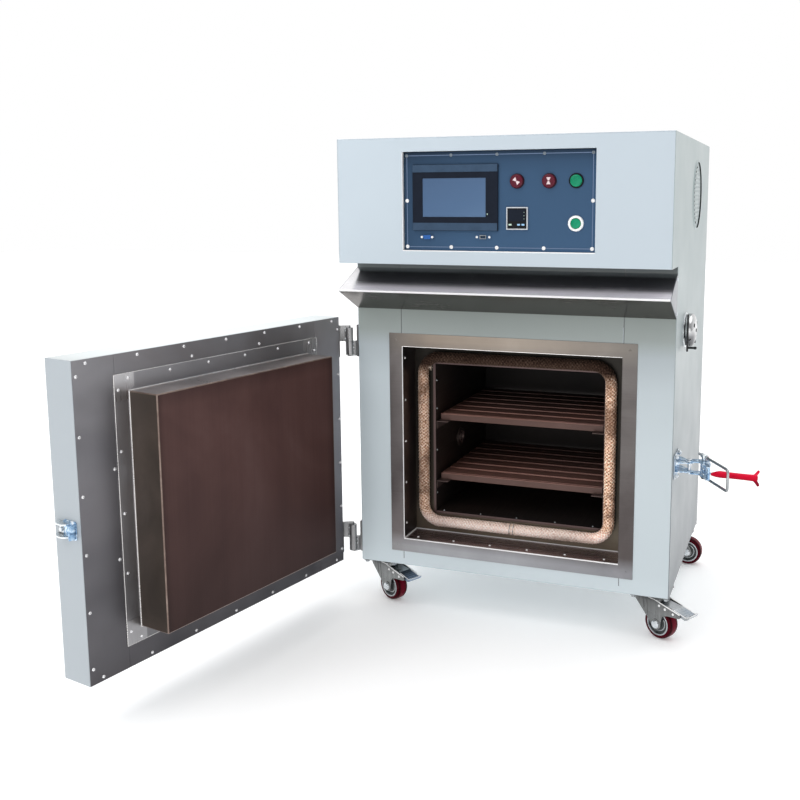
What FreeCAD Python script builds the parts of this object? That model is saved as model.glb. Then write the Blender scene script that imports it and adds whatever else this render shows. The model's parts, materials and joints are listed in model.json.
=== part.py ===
import FreeCAD, Part
import math
import os
import re
import Sketcher
from FreeCAD import Placement, Rotation, Vector

# Floor-standing hot-air chamber oven on casters.
# Frame: +X to the right as seen from the front, +Y to the back, +Z up. X = 0 is the middle of the cabinet,
# Y = 0 is the plane of the lower front, Z = 0 is the floor under the casters. Millimetres.

doc = FreeCAD.newDocument("chamber_oven")
sheet = doc.addObject("Spreadsheet::Sheet", "dims")

DIMS = [
    # cabinet
    ("body_half", 380.0), ("body_depth", 585.0), ("base_z", 108.0), ("deck_z", 858.5), ("top_z", 1139.0),
    ("overhang", 96.2), ("skin", 1.5),
    # control panel opening
    ("panel_left", -220.0), ("panel_right", 218.0), ("panel_low", 890.0), ("panel_high", 1108.0), ("panel_y", -88.2),
    ("panel_sheet", 2.0),
    # drip hood
    ("hood_top", 843.2), ("hood_lip_z", 795.5), ("hood_lip_y", 106.3), ("hood_low", 744.5), ("hood_sheet", 1.65),
    # trim frame and reveal
    ("trim_half", 298.0), ("trim_low", 143.1), ("trim_high", 686.7), ("mouth_half", 265.0), ("mouth_low", 175.5),
    ("mouth_high", 655.4), ("reveal_depth", 81.0), ("trim_sheet", 1.5),
    # rope gasket
    ("rope_radius", 13.5), ("rope_left", 237.5), ("rope_right", 228.3), ("rope_low", 206.0), ("rope_high", 622.0), ("rope_bend", 42.0),
    ("rope_y", 67.4),
    # chamber
    ("liner_half", 211.0), ("liner_low", 228.0), ("liner_high", 603.0), ("liner_back", 480.0), ("plenum_high", 735.0),
    ("liner_sheet", 1.5), ("wall_port_y", 262.0), ("wall_port_z", 377.0), ("wall_port_radius", 24.0),
    # shelves and rails
    ("shelf_half", 205.5), ("shelf_front", 102.0), ("shelf_back", 456.0), ("shelf_bar", 16.0), ("upper_shelf_z", 457.6),
    ("lower_shelf_z", 304.9), ("slat_pitch", 52.0), ("slat_width", 42.0), ("slat_thick", 5.0), ("rail_width", 30.0),
    ("rail_gap", 0.4),
    # door, drawn closed and then turned about its hinge line
    ("door_low", 109.4), ("door_high", 723.6), ("door_inner_y", -22.5), ("door_thick", 73.7), ("plug_half", 257.5),
    ("plug_low", 183.0), ("plug_high", 650.0), ("plug_face_y", 53.4), ("flange_half", 292.0), ("flange_low", 154.5),
    ("flange_high", 684.5), ("hinge_x", -401.0), ("hinge_y", -8.1), ("open_angle", 101.63), ("hinge_upper_z", 662.7),
    ("hinge_lower_z", 166.6), ("leaf_height", 78.0), ("leaf_sheet", 7.0), ("knuckle_radius", 9.5), ("knuckle_height", 33.0),
    ("pin_radius", 5.0), ("pin_clear", 0.08),
    # toggle latch on the right side, drawn open
    ("latch_z", 409.0), ("latch_px", 412.0), ("latch_py", 42.0), ("trunnion_x", 444.0), ("trunnion_y", 50.0),
    ("bail_length", 113.9), ("bail_angle", -59.4), ("bail_half", 23.5), ("bail_rod", 3.0), ("grip_x", 462.0),
    ("grip_y", 0.7), ("grip_angle", -4.3), ("grip_length", 104.0), ("grip_high", 15.0), ("grip_thick", 13.0),
    ("strike_y", -36.6), ("strike_high", 17.0),
    # casters
    ("caster_x", 336.0), ("caster_front_y", 50.0), ("caster_rear_y", 535.0), ("wheel_radius", 37.5), ("wheel_width", 32.0),
    ("trail", 28.0), ("axle_radius", 6.0), ("plate_long", 88.0), ("plate_wide", 88.0), ("plate_thick", 4.0),
    ("fork_inside", 19.0), ("fork_sheet", 2.5), ("swivel_fl", -27.0), ("swivel_fr", -28.0), ("swivel_rl", 15.0),
    ("swivel_rr", -4.0),
    # fan, vent and louvres
    ("fan_y", 300.0), ("fan_radius", 85.0), ("shaft_radius", 7.0), ("vent_y", 160.0), ("vent_z", 702.0),
    ("vent_radius", 22.0), ("cap_radius", 37.5), ("cap_length", 22.0), ("louvre_y", 313.0), ("louvre_z", 1011.0),
    ("louvre_radius", 72.0), ("louvre_pitch", 10.0), ("louvre_gap", 3.4),
    # fittings on the control panel
    ("screen_left", -196.0), ("screen_right", 3.0), ("screen_low", 934.6), ("screen_high", 1079.2), ("limiter_left", 22.0),
    ("limiter_right", 70.0), ("limiter_low", 937.5), ("limiter_high", 986.4), ("button_x", 175.0), ("button_z", 951.7),
    ("button_radius", 12.3), ("ring_radius", 17.0), ("signal_z", 1041.5), ("key_z", 948.5),
]
for row, (alias, value) in enumerate(DIMS, start=1):
    sheet.set("A%d" % row, "%g" % value)
    sheet.setAlias("A%d" % row, alias)
doc.recompute()
NAMES = {alias for alias, value in DIMS}


def dim(alias):
    return float(sheet.get(alias))


def bind(text):
    """Turns a formula in sheet words into an expression on the sheet."""
    return re.sub(r"[A-Za-z_][A-Za-z_0-9]*", lambda m: "dims." + m.group(0) if m.group(0) in NAMES else m.group(0), str(text))


def place(obj, x, y, z):
    for axis, formula in zip("xyz", (x, y, z)):
        obj.setExpression("Placement.Base." + axis, bind(formula))


def box(name, x0, x1, y0, y1, z0, z1):
    o = doc.addObject("Part::Box", name)
    o.setExpression("Length", bind("(%s)-(%s)" % (x1, x0)))
    o.setExpression("Width", bind("(%s)-(%s)" % (y1, y0)))
    o.setExpression("Height", bind("(%s)-(%s)" % (z1, z0)))
    place(o, x0, y0, z0)
    return o


TURN = {"X": Rotation(Vector(0, 1, 0), 90), "Y": Rotation(Vector(1, 0, 0), -90), "Z": Rotation()}


def cyl(name, axis, x, y, z, radius, length):
    """A cylinder that starts at the point and runs along +axis."""
    o = doc.addObject("Part::Cylinder", name)
    o.Placement = Placement(Vector(), TURN[axis])
    o.setExpression("Radius", bind(radius))
    o.setExpression("Height", bind(length))
    place(o, x, y, z)
    return o


def sketch_of(body, role, points, offset):
    """A closed outline on one of the body's own planes; each point is a pair of formulas."""
    sk = body.newObject("Sketcher::SketchObject", body.Name + "_outline")
    plane = [f for f in body.Origin.OriginFeatures if f.Role == role][0]
    sk.AttachmentSupport = [(plane, "")]
    sk.MapMode = "FlatFace"
    if offset is not None:
        sk.setExpression("AttachmentOffset.Base.z", bind(offset))
    guess = [tuple(first_guess(c) for c in p) for p in points]
    n = len(points)
    for i in range(n):
        a, b = guess[i], guess[(i + 1) % n]
        sk.addGeometry(Part.LineSegment(Vector(a[0], a[1], 0), Vector(b[0], b[1], 0)), False)
    for i in range(n):
        sk.addConstraint(Sketcher.Constraint("Coincident", i, 2, (i + 1) % n, 1))
    for i in range(n):
        for k, kind in ((0, "DistanceX"), (1, "DistanceY")):
            c = sk.addConstraint(Sketcher.Constraint(kind, -1, 1, i, 1, guess[i][k]))
            sk.setExpression("Constraints[%d]" % c, bind(points[i][k]))
    return sk


probe = doc.addObject("Part::Box", "probe")


def first_guess(formula):
    """Value of a formula, read through a placement that is bound to it."""
    if isinstance(formula, (int, float)):
        return float(formula)
    probe.setExpression("Placement.Base.x", bind(formula))
    probe.recompute()
    return float(probe.Placement.Base.x)


ROLE = {"XY": "XY_Plane", "XZ": "XZ_Plane", "YZ": "YZ_Plane"}


def prism(name, plane, points, a0, a1):
    """An outline in a plane, padded from a0 to a1 along the plane's third axis."""
    body = doc.addObject("PartDesign::Body", name)
    offset = "-(%s)" % a1 if plane == "XZ" else "(%s)" % a0
    sk = sketch_of(body, ROLE[plane], points, offset)
    pad = body.newObject("PartDesign::Pad", name + "_pad")
    pad.Profile = sk
    pad.setExpression("Length", bind("(%s)-(%s)" % (a1, a0)))
    return body


def turned(name, points):
    """A solid of revolution about Z from an outline in radius and height."""
    body = doc.addObject("PartDesign::Body", name)
    sk = sketch_of(body, "XZ_Plane", points, None)
    rev = body.newObject("PartDesign::Revolution", name + "_turn")
    rev.Profile = sk
    rev.ReferenceAxis = (sk, ["V_Axis"])
    rev.Angle = 360.0
    return body


def group(name, members):
    o = doc.addObject("Part::Compound", name)
    o.Links = members
    return o


def fuse(name, members):
    o = doc.addObject("Part::MultiFuse", name)
    o.Shapes = members
    return o


def cut(name, base, tools):
    o = doc.addObject("Part::Cut", name)
    o.Base = base
    o.Tool = tools[0] if len(tools) == 1 else group(name + "_tools", tools)
    return o


def feature(name, shape):
    o = doc.addObject("Part::Feature", name)
    o.Shape = shape
    return o


NODES = []


def node(obj, label, where=None):
    obj.Label = label
    if where is not None:
        obj.Placement = where
    NODES.append(obj)
    return obj


# ---------------------------------------------------------------- cabinet sheets
SIDE = [("0", "base_z"), ("body_depth", "base_z"), ("body_depth", "top_z"), ("-overhang", "top_z"), ("-overhang", "deck_z"), ("0", "deck_z")]
node(prism("side_left", "YZ", SIDE, "-body_half", "-body_half+skin"), "side_panel_left")

side_right = prism("side_right", "YZ", SIDE, "body_half-skin", "body_half")
slots = []
for k in range(14):
    step = k - 6.5
    half = math.sqrt(dim("louvre_radius") ** 2 - (step * dim("louvre_pitch")) ** 2)
    slots.append(box("louvre_%02d" % k, "body_half-skin-1", "body_half+1", "louvre_y-%.2f" % half, "louvre_y+%.2f" % half,
                     "louvre_z+(%g)*louvre_pitch-louvre_gap/2" % step, "louvre_z+(%g)*louvre_pitch+louvre_gap/2" % step))
slots.append(cyl("vent_hole", "X", "body_half-skin-1", "vent_y", "vent_z", "vent_radius+2", "skin+2"))
node(cut("side_right_cut", side_right, slots), "side_panel_right")

node(box("top_sheet", "-body_half+skin", "body_half-skin", "-overhang", "body_depth", "top_z-skin", "top_z"), "top_panel")

front_sheet = box("front_sheet", "-body_half+skin", "body_half-skin", "-overhang", "-overhang+skin", "deck_z", "top_z-skin")
front_hole = box("front_hole", "panel_left", "panel_right", "-overhang-1", "-overhang+skin+1", "panel_low", "panel_high")
front_open = cut("front_open", front_sheet, [front_hole])
returns = [
    box("return_left", "panel_left-skin", "panel_left", "-overhang+skin", "panel_y", "panel_low", "panel_high"),
    box("return_right", "panel_right", "panel_right+skin", "-overhang+skin", "panel_y", "panel_low", "panel_high"),
    box("return_low", "panel_left-skin", "panel_right+skin", "-overhang+skin", "panel_y", "panel_low-skin", "panel_low"),
    box("return_high", "panel_left-skin", "panel_right+skin", "-overhang+skin", "panel_y", "panel_high", "panel_high+skin"),
]
node(fuse("control_front_sheet", [front_open] + returns), "control_front")

deck = box("deck_sheet", "-body_half+skin", "body_half-skin", "-overhang+skin", "body_depth-skin", "deck_z", "deck_z+skin")
node(cut("deck_cut", deck, [cyl("deck_hole", "Z", "0", "fan_y", "deck_z-1", "20", "skin+2")]), "control_deck")

node(group("front_sheets", [
    box("upright_left", "-body_half+skin", "-mouth_half-trim_sheet-0.1", "0", "skin", "base_z+skin", "deck_z"),
    box("upright_right", "mouth_half+trim_sheet+0.1", "body_half-skin", "0", "skin", "base_z+skin", "deck_z"),
    box("rail_high", "-mouth_half-trim_sheet+0.5", "mouth_half+trim_sheet-0.5", "0", "skin", "mouth_high+trim_sheet+0.1", "deck_z"),
    box("rail_low", "-mouth_half-trim_sheet+0.5", "mouth_half+trim_sheet-0.5", "0", "skin", "base_z+skin", "mouth_low-trim_sheet-0.1"),
]), "front_frame")

gland_x, gland_z = 250.0, 185.0
back = box("back_sheet", "-body_half+skin", "body_half-skin", "body_depth-skin", "body_depth", "base_z+skin", "top_z-skin")
back_slots = []
for i in range(10):
    for side in (-1, 1):
        back_slots.append(box("back_slot_%d_%d" % (i, side + 1), side * 170 - 75, side * 170 + 75, "body_depth-skin-1", "body_depth+1",
                              "deck_z+%g" % (60 + i * 18), "deck_z+%g" % (65 + i * 18)))
node(cut("back_cut", back, back_slots), "back_cover")
node(box("floor_sheet", "-body_half+skin", "body_half-skin", "0", "body_depth", "base_z", "base_z+skin"), "bottom_plate")

# ---------------------------------------------------------------- drip hood: two slopes and two end caps
hood_inner = ("-hood_lip_y+3.55", "hood_lip_z")
node(group("hood_sheets", [
    prism("hood_upper", "YZ", [("0", "hood_top"), ("-hood_lip_y", "hood_lip_z"), hood_inner, ("0", "hood_top-hood_sheet")],
          "-body_half+1.2", "body_half-1.2"),
    prism("hood_lower", "YZ", [("-hood_lip_y", "hood_lip_z"), ("0", "hood_low"), ("0", "hood_low+hood_sheet"), hood_inner],
          "-body_half+1.2", "body_half-1.2"),
    prism("hood_end_left", "YZ", [("0", "hood_top"), ("-hood_lip_y", "hood_lip_z"), ("0", "hood_low")], "-body_half", "-body_half+1.2"),
    prism("hood_end_right", "YZ", [("0", "hood_top"), ("-hood_lip_y", "hood_lip_z"), ("0", "hood_low")], "body_half-1.2", "body_half"),
]), "hood")

# ---------------------------------------------------------------- trim frame: four mitred angles, face and reveal
corner = {"ol": "-trim_half", "or": "trim_half", "il": "-mouth_half", "ir": "mouth_half"}
trim = []
for name, pts, wall in (
    ("left", [("-trim_half", "trim_low"), ("-mouth_half", "mouth_low"), ("-mouth_half", "mouth_high"), ("-trim_half", "trim_high")],
     ("-mouth_half-trim_sheet", "-mouth_half", "mouth_low", "mouth_high")),
    ("right", [("trim_half", "trim_low"), ("trim_half", "trim_high"), ("mouth_half", "mouth_high"), ("mouth_half", "mouth_low")],
     ("mouth_half", "mouth_half+trim_sheet", "mouth_low", "mouth_high")),
    ("high", [("-trim_half", "trim_high"), ("-mouth_half", "mouth_high"), ("mouth_half", "mouth_high"), ("trim_half", "trim_high")],
     ("-mouth_half", "mouth_half", "mouth_high", "mouth_high+trim_sheet")),
    ("low", [("-trim_half", "trim_low"), ("trim_half", "trim_low"), ("mouth_half", "mouth_low"), ("-mouth_half", "mouth_low")],
     ("-mouth_half", "mouth_half", "mouth_low-trim_sheet", "mouth_low")),
):
    face = prism("trim_face_" + name, "XZ", pts, "-trim_sheet", "0")
    reveal = box("trim_wall_" + name, wall[0], wall[1], "0", "reveal_depth", wall[2], wall[3])
    trim.append(fuse("trim_" + name, [face, reveal]))
node(group("trim_pieces", trim), "trim_frame")


def heads(name, spots, radius, height, axis, start):
    """A group of equal round heads; each spot is two coordinates in the plane across the axis."""
    solids = []
    for a, b in spots:
        if axis == "Y":
            solids.append(Part.makeCylinder(radius, height, Vector(a, start, b), Vector(0, 1, 0)))
        elif axis == "X":
            solids.append(Part.makeCylinder(radius, height, Vector(start, a, b), Vector(1, 0, 0)))
        else:
            solids.append(Part.makeCylinder(radius, height, Vector(a, b, start), Vector(0, 0, 1)))
    return solids


mid_x = (dim("trim_half") + dim("mouth_half")) / 2
mid_low = (dim("trim_low") + dim("mouth_low")) / 2
mid_high = (dim("trim_high") + dim("mouth_high")) / 2
trim_spots = [(sx * mid_x, z) for sx in (-1, 1) for z in (mid_low, mid_high)]
node(feature("trim_heads", Part.makeCompound(heads("t", trim_spots, 3.0, 1.6, "Y", -dim("trim_sheet") - 1.6))), "trim_rivets")

# ---------------------------------------------------------------- rope gasket: four runs and four quarter bends
rr, rh, rt, rl, ru, rb, ry = (dim(k) for k in ("rope_radius", "rope_left", "rope_right", "rope_low", "rope_high", "rope_bend", "rope_y"))
rope = [
    Part.makeCylinder(rr, ru - rl - 2 * rb, Vector(-rh, ry, rl + rb), Vector(0, 0, 1)),
    Part.makeCylinder(rr, ru - rl - 2 * rb, Vector(rt, ry, rl + rb), Vector(0, 0, 1)),
    Part.makeCylinder(rr, rh + rt - 2 * rb, Vector(-rh + rb, ry, rl), Vector(1, 0, 0)),
    Part.makeCylinder(rr, rh + rt - 2 * rb, Vector(-rh + rb, ry, ru), Vector(1, 0, 0)),
]
for sx in (-1, 1):
    for sz, zc in ((-1, rl + rb), (1, ru - rb)):
        bend = Part.makeTorus(rb, rr, Vector(0, 0, 0), Vector(0, 0, 1), -180, 180, 90)
        start = {(1, 1): 0.0, (-1, 1): 90.0, (-1, -1): 180.0, (1, -1): 270.0}[(sx, sz)]
        bend.Placement = Placement(Vector(rt - rb if sx > 0 else rb - rh, ry, zc), Rotation(Vector(1, 0, 0), 90).multiply(Rotation(Vector(0, 0, 1), start)))
        rope.append(bend)
node(feature("rope_runs", Part.makeCompound(rope)), "gasket_rope")

# ---------------------------------------------------------------- chamber liner, plenum above it
LH, LT = "liner_half", "liner_sheet"
right_wall = box("liner_right_sheet", "liner_half", "liner_half+liner_sheet", "reveal_depth+liner_sheet", "liner_back", "liner_low-liner_sheet", "plenum_high+liner_sheet")
top_wall = box("liner_top_sheet", "-liner_half", "liner_half", "reveal_depth+liner_sheet", "liner_back", "plenum_high", "plenum_high+liner_sheet")
port_ring = cut("wall_port_ring", cyl("wall_port_out", "X", "-liner_half", "wall_port_y", "wall_port_z", "wall_port_radius", "4"),
                [cyl("wall_port_in", "X", "-liner_half-1", "wall_port_y", "wall_port_z", "wall_port_radius-6", "6")])
node(group("liner_sheets", [
    box("liner_left", "-liner_half-liner_sheet", "-liner_half", "reveal_depth+liner_sheet", "liner_back", "liner_low-liner_sheet", "plenum_high+liner_sheet"),
    cut("liner_right", right_wall, [cyl("liner_vent", "X", "liner_half-1", "vent_y", "vent_z", "vent_radius-2", "liner_sheet+2")]),
    box("liner_bottom", "-liner_half", "liner_half", "reveal_depth+liner_sheet", "liner_back", "liner_low-liner_sheet", "liner_low"),
    cut("liner_top", top_wall, [cyl("liner_shaft", "Z", "0", "fan_y", "plenum_high-1", "15", "liner_sheet+2")]),
    box("liner_rear", "-liner_half-liner_sheet", "liner_half+liner_sheet", "liner_back", "liner_back+liner_sheet", "liner_low-liner_sheet", "plenum_high+liner_sheet"),
    box("lip_left", "-mouth_half-trim_sheet", "-liner_half", "reveal_depth", "reveal_depth+liner_sheet", "mouth_low-trim_sheet", "mouth_high+trim_sheet"),
    box("lip_right", "liner_half", "mouth_half+trim_sheet", "reveal_depth", "reveal_depth+liner_sheet", "mouth_low-trim_sheet", "mouth_high+trim_sheet"),
    box("lip_low", "-liner_half", "liner_half", "reveal_depth", "reveal_depth+liner_sheet", "mouth_low-trim_sheet", "liner_low"),
    box("lip_high", "-liner_half", "liner_half", "reveal_depth", "reveal_depth+liner_sheet", "liner_high", "plenum_high+liner_sheet"),
    port_ring,
]), "chamber_liner")

wool_right = box("wool_right_out", "mouth_half+3", "body_half-3", "3", "liner_back-2", "base_z+4", "plenum_high+2")
wool_right_in = box("wool_right_in", "liner_half+2.5", "mouth_half+2.9", "reveal_depth+3", "liner_back-2", "base_z+4", "plenum_high+2")
wool_top = box("wool_top_slab", "-body_half+3", "body_half-3", "3", "body_depth-7", "plenum_high+3", "deck_z-1.5")
node(group("wool_slabs", [
    box("wool_left_out", "-body_half+3", "-mouth_half-3", "3", "liner_back-2", "base_z+4", "plenum_high+2"),
    box("wool_left_in", "-mouth_half-2.9", "-liner_half-2.5", "reveal_depth+3", "liner_back-2", "base_z+4", "plenum_high+2"),
    cut("wool_right_bored", wool_right, [cyl("wool_bore_a", "X", "mouth_half", "vent_y", "vent_z", "vent_radius+2", "body_half-mouth_half")]),
    cut("wool_right_in_bored", wool_right_in, [cyl("wool_bore_b", "X", "liner_half", "vent_y", "vent_z", "vent_radius+2", "mouth_half-liner_half+6")]),
    box("wool_bottom", "-liner_half-2.4", "liner_half+2.4", "reveal_depth+3", "liner_back-2", "base_z+4", "liner_low-3"),
    box("wool_front_low", "-mouth_half-2.9", "mouth_half+2.9", "3", "reveal_depth-1", "base_z+4", "mouth_low-3"),
    box("wool_front_high", "-mouth_half-2.9", "mouth_half+2.9", "3", "reveal_depth-1", "mouth_high+3", "plenum_high+2"),
    box("wool_back", "-body_half+3", "body_half-3", "liner_back+3", "body_depth-7", "base_z+4", "plenum_high+2"),
    cut("wool_top", wool_top, [cyl("wool_shaft", "Z", "0", "fan_y", "plenum_high", "15", "deck_z-plenum_high")]),
]), "insulation")

rails = []
for level in ("upper_shelf_z", "lower_shelf_z"):
    for side, tag in (("-", "left"), ("", "right")):
        pts = [(side + "liner_half", level + "-rail_gap"), (side + "(liner_half-rail_width)", level + "-rail_gap"),
               (side + "(liner_half-rail_width)", level + "-rail_gap-1.5"), (side + "(liner_half-1.5)", level + "-rail_gap-1.5"),
               (side + "(liner_half-1.5)", level + "-rail_gap-20"), (side + "liner_half", level + "-rail_gap-20")]
        rails.append(prism("rail_%s_%s" % (level[:5], tag), "XZ", pts, "reveal_depth+5", "liner_back-10"))
node(group("rail_set", rails), "shelf_rails")

# Hairpin heaters stand on either side of the fan, above the ceiling of the chamber.
hairpins = []
for sx in (-1, 1):
    for z in (645.0, 695.0):
        a, b, r_turn, y_turn, y_end = sx * 125.0, sx * 175.0, 25.0, 150.0, dim("liner_back") - 1.0
        path = Part.Wire([
            Part.LineSegment(Vector(a, y_end, z), Vector(a, y_turn, z)).toShape(),
            Part.Arc(Vector(a, y_turn, z), Vector((a + b) / 2, y_turn - r_turn, z), Vector(b, y_turn, z)).toShape(),
            Part.LineSegment(Vector(b, y_turn, z), Vector(b, y_end, z)).toShape(),
        ])
        ring = Part.Wire([Part.Circle(Vector(a, y_end, z), Vector(0, 1, 0), 4.0).toShape()])
        hairpins.append(path.makePipeShell([ring], True, False))
node(feature("hairpins", Part.makeCompound(hairpins)), "heater_elements")

baffle = box("baffle_sheet", "-liner_half+0.1", "liner_half-0.1", "reveal_depth+liner_sheet+0.1", "liner_back-0.1", "liner_high", "liner_high+liner_sheet")
baffle_tools = [cyl("baffle_eye", "Z", "0", "fan_y", "liner_high-1", "70", "liner_sheet+2")]
for i in range(8):
    for side in (-1, 1):
        baffle_tools.append(box("baffle_slot_%d_%d" % (i, side + 1), side * 185 - 12, side * 185 + 12, 110 + i * 44, 124 + i * 44,
                                "liner_high-1", "liner_high+liner_sheet+1"))
node(cut("baffle_cut", baffle, baffle_tools), "air_baffle")

motor = fuse("motor_solid", [
    box("motor_foot", "-75", "75", "fan_y-75", "fan_y+75", "deck_z+skin", "deck_z+skin+6"),
    cyl("motor_can", "Z", "0", "fan_y", "deck_z+skin+6", "60", "140"),
    cyl("motor_cap", "Z", "0", "fan_y", "deck_z+skin+146", "52", "24"),
    box("motor_terminals", "50", "90", "fan_y-30", "fan_y+30", "deck_z+skin+60", "deck_z+skin+110"),
])
node(cut("motor_bored", motor, [cyl("motor_bore", "Z", "0", "fan_y", "deck_z", "shaft_radius+pin_clear", "141")]), "fan_motor")

blades = [
    cyl("fan_disc", "Z", "0", "0", "0", "fan_radius", "3"),
    cyl("fan_hub", "Z", "0", "0", "-24", "17", "24"),
    cyl("fan_shaft", "Z", "0", "0", "3", "shaft_radius", "deck_z+skin+130-680"),
]
for i in range(10):
    blade = doc.addObject("Part::Box", "fan_blade_%d" % i)
    blade.setExpression("Length", bind("fan_radius-42"))
    blade.Width, blade.Height = 2.0, 42.0
    turn = Rotation(Vector(0, 0, 1), i * 36.0)
    blade.Placement = Placement(turn.multVec(Vector(40, -1, -42)), turn)
    blades.append(blade)
impeller = fuse("impeller", blades)
node(impeller, "fan_impeller", Placement(Vector(0, dim("fan_y"), 677.0), Rotation()))

node(fuse("probe_solid", [
    cyl("probe_flange", "Y", "120", "liner_back-3", "565", "10", "3"),
    cyl("probe_rod", "Y", "120", "liner_back-75", "565", "3", "73"),
]), "thermocouple")

# ---------------------------------------------------------------- control panel and its fittings
panel_sheet = box("panel_plate", "panel_left-12", "panel_right+12", "panel_y", "panel_y+panel_sheet", "panel_low-12", "panel_high+12")
lamp_x = (45.1, 116.2, 174.8)
panel_tools = [
    box("panel_cut_screen", "screen_left+9.5", "screen_right-9.5", "panel_y-1", "panel_y+panel_sheet+1", "screen_low+9.5", "screen_high-9.5"),
    box("panel_cut_limiter", "limiter_left+2.5", "limiter_right-2.5", "panel_y-1", "panel_y+panel_sheet+1", "limiter_low+2.5", "limiter_high-2.5"),
    box("panel_cut_serial", "-172", "-153.2", "panel_y-1", "panel_y+panel_sheet+1", "914.5", "925.5"),
    box("panel_cut_usb", "-38.6", "-24.6", "panel_y-1", "panel_y+panel_sheet+1", "917", "925"),
    cyl("panel_cut_button", "Y", "button_x", "panel_y-1", "button_z", "button_radius+1", "panel_sheet+2"),
]
for i, x in enumerate(lamp_x):
    panel_tools.append(cyl("panel_cut_signal_%d" % i, "Y", x, "panel_y-1", "signal_z", "11.4", "panel_sheet+2"))
node(cut("panel_cut", panel_sheet, panel_tools), "control_panel")

screw_spots = [(x, z) for x in (-211.0, -106.2, -0.5, 105.2, 210.5) for z in (1099.2, 898.3)] + [(-211.0, 1000.3), (211.0, 999.5)]
node(feature("panel_heads", Part.makeCompound(heads("p", screw_spots, 3.2, 1.8, "Y", dim("panel_y") - 1.8))), "panel_screws")

screen_front = box("screen_bezel", "screen_left", "screen_right", "panel_y-6", "panel_y", "screen_low", "screen_high")
screen_body = box("screen_body", "screen_left+10", "screen_right-10", "panel_y", "panel_y+38", "screen_low+10", "screen_high-10")
screen_glass = box("screen_recess", "-172", "-24.8", "panel_y-7", "panel_y-5", "964.8", "1049.3")
node(cut("screen_cut", fuse("screen_solid", [screen_front, screen_body]), [screen_glass]), "touch_screen")

node(group("socket_set", [
    fuse("serial_socket", [
        box("serial_face", "-178", "-147.2", "panel_y-1.5", "panel_y", "913.8", "926.2"),
        box("serial_shell", "-171", "-154.2", "panel_y-7", "panel_y-1.5", "915.6", "924.4"),
        box("serial_rear", "-171.5", "-153.7", "panel_y", "panel_y+12", "915", "925"),
        cyl("serial_post_a", "Y", "-174.8", "panel_y-6", "920", "2.4", "4.5"),
        cyl("serial_post_b", "Y", "-150.4", "panel_y-6", "920", "2.4", "4.5"),
    ]),
    fuse("usb_socket", [
        box("usb_face", "-50", "-13.2", "panel_y-1.5", "panel_y", "914.5", "927.5"),
        box("usb_shell", "-38.2", "-25", "panel_y-4", "panel_y-1.5", "917.8", "924.2"),
        box("usb_rear", "-38.2", "-25", "panel_y", "panel_y+14", "917.4", "924.6"),
        cyl("usb_screw_a", "Y", "-46", "panel_y-3", "921", "2.2", "1.5"),
        cyl("usb_screw_b", "Y", "-17.2", "panel_y-3", "921", "2.2", "1.5"),
    ]),
]), "data_ports")

signals = []
for i, x in enumerate(lamp_x):
    signals.append(fuse("signal_%d" % i, [
        cyl("signal_ring_%d" % i, "Y", x, "panel_y-3", "signal_z", "16", "3"),
        cyl("signal_lens_%d" % i, "Y", x, "panel_y-7", "signal_z", "13" if i == 2 else "15", "4"),
        cyl("signal_body_%d" % i, "Y", x, "panel_y", "signal_z", "11", "34"),
    ]))
signals.append(cut("button_ring", cyl("button_ring_out", "Y", "button_x", "panel_y-5", "button_z", "ring_radius", "5"),
                   [cyl("button_ring_in", "Y", "button_x", "panel_y-6", "button_z", "button_radius+0.3", "7")]))
node(group("signal_set", signals), "panel_signals")

limiter_front = box("limiter_bezel", "limiter_left", "limiter_right", "panel_y-5", "panel_y", "limiter_low", "limiter_high")
limiter_body = box("limiter_body", "limiter_left+3", "limiter_right-3", "panel_y", "panel_y+75", "limiter_low+3", "limiter_high-3")
keys = (("left", 31.0), ("mid", 50.2), ("right", 60.0))
limiter_tools = [box("key_well_" + tag, x - 3.6, x + 3.6, "panel_y-6", "panel_y-2.5", "key_z-2.2", "key_z+2.2") for tag, x in keys]
node(cut("limiter_cut", fuse("limiter_solid", [limiter_front, limiter_body]), limiter_tools), "temp_controller")
for tag, x in keys:
    node(box("key_cap_" + tag, x - 3.2, x + 3.2, "panel_y-5.8", "panel_y-3.5", "key_z-1.8", "key_z+1.8"), "controller_key_" + tag)

node(cyl("button_cap", "Y", "button_x", "panel_y-6.6", "button_z", "button_radius", "15"), "power_button")

node(group("electrics", [
    box("tray", "-340", "-120", "60", "480", "deck_z+skin", "deck_z+skin+2"),
    box("contactor", "-320", "-264", "90", "170", "deck_z+skin+2", "deck_z+skin+92"),
    box("relay", "-240", "-180", "90", "200", "deck_z+skin+2", "deck_z+skin+72"),
    box("breaker", "-320", "-248", "210", "286", "deck_z+skin+2", "deck_z+skin+82"),
    box("terminals", "-320", "-150", "430", "462", "deck_z+skin+2", "deck_z+skin+38"),
    box("supply", "-230", "-140", "240", "390", "deck_z+skin+2", "deck_z+skin+62"),
]), "electrics_tray")

hexa = [(gland_x + 13.0 * math.cos(math.radians(60 * i)), gland_z + 13.0 * math.sin(math.radians(60 * i))) for i in range(6)]
gland = fuse("gland_solid", [
    prism("gland_nut", "XZ", hexa, "body_depth", "body_depth+7"),
    cyl("gland_body", "Y", gland_x, "body_depth+7", gland_z, "10.5", "5"),
    prism("gland_cap", "XZ", [(gland_x + 11.5 * math.cos(math.radians(60 * i + 30)), gland_z + 11.5 * math.sin(math.radians(60 * i + 30))) for i in range(6)],
          "body_depth+12", "body_depth+24"),
])
node(cut("gland_bored", gland, [cyl("gland_bore", "Y", gland_x, "body_depth+2", gland_z, "6", "24")]), "cable_gland")

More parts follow.
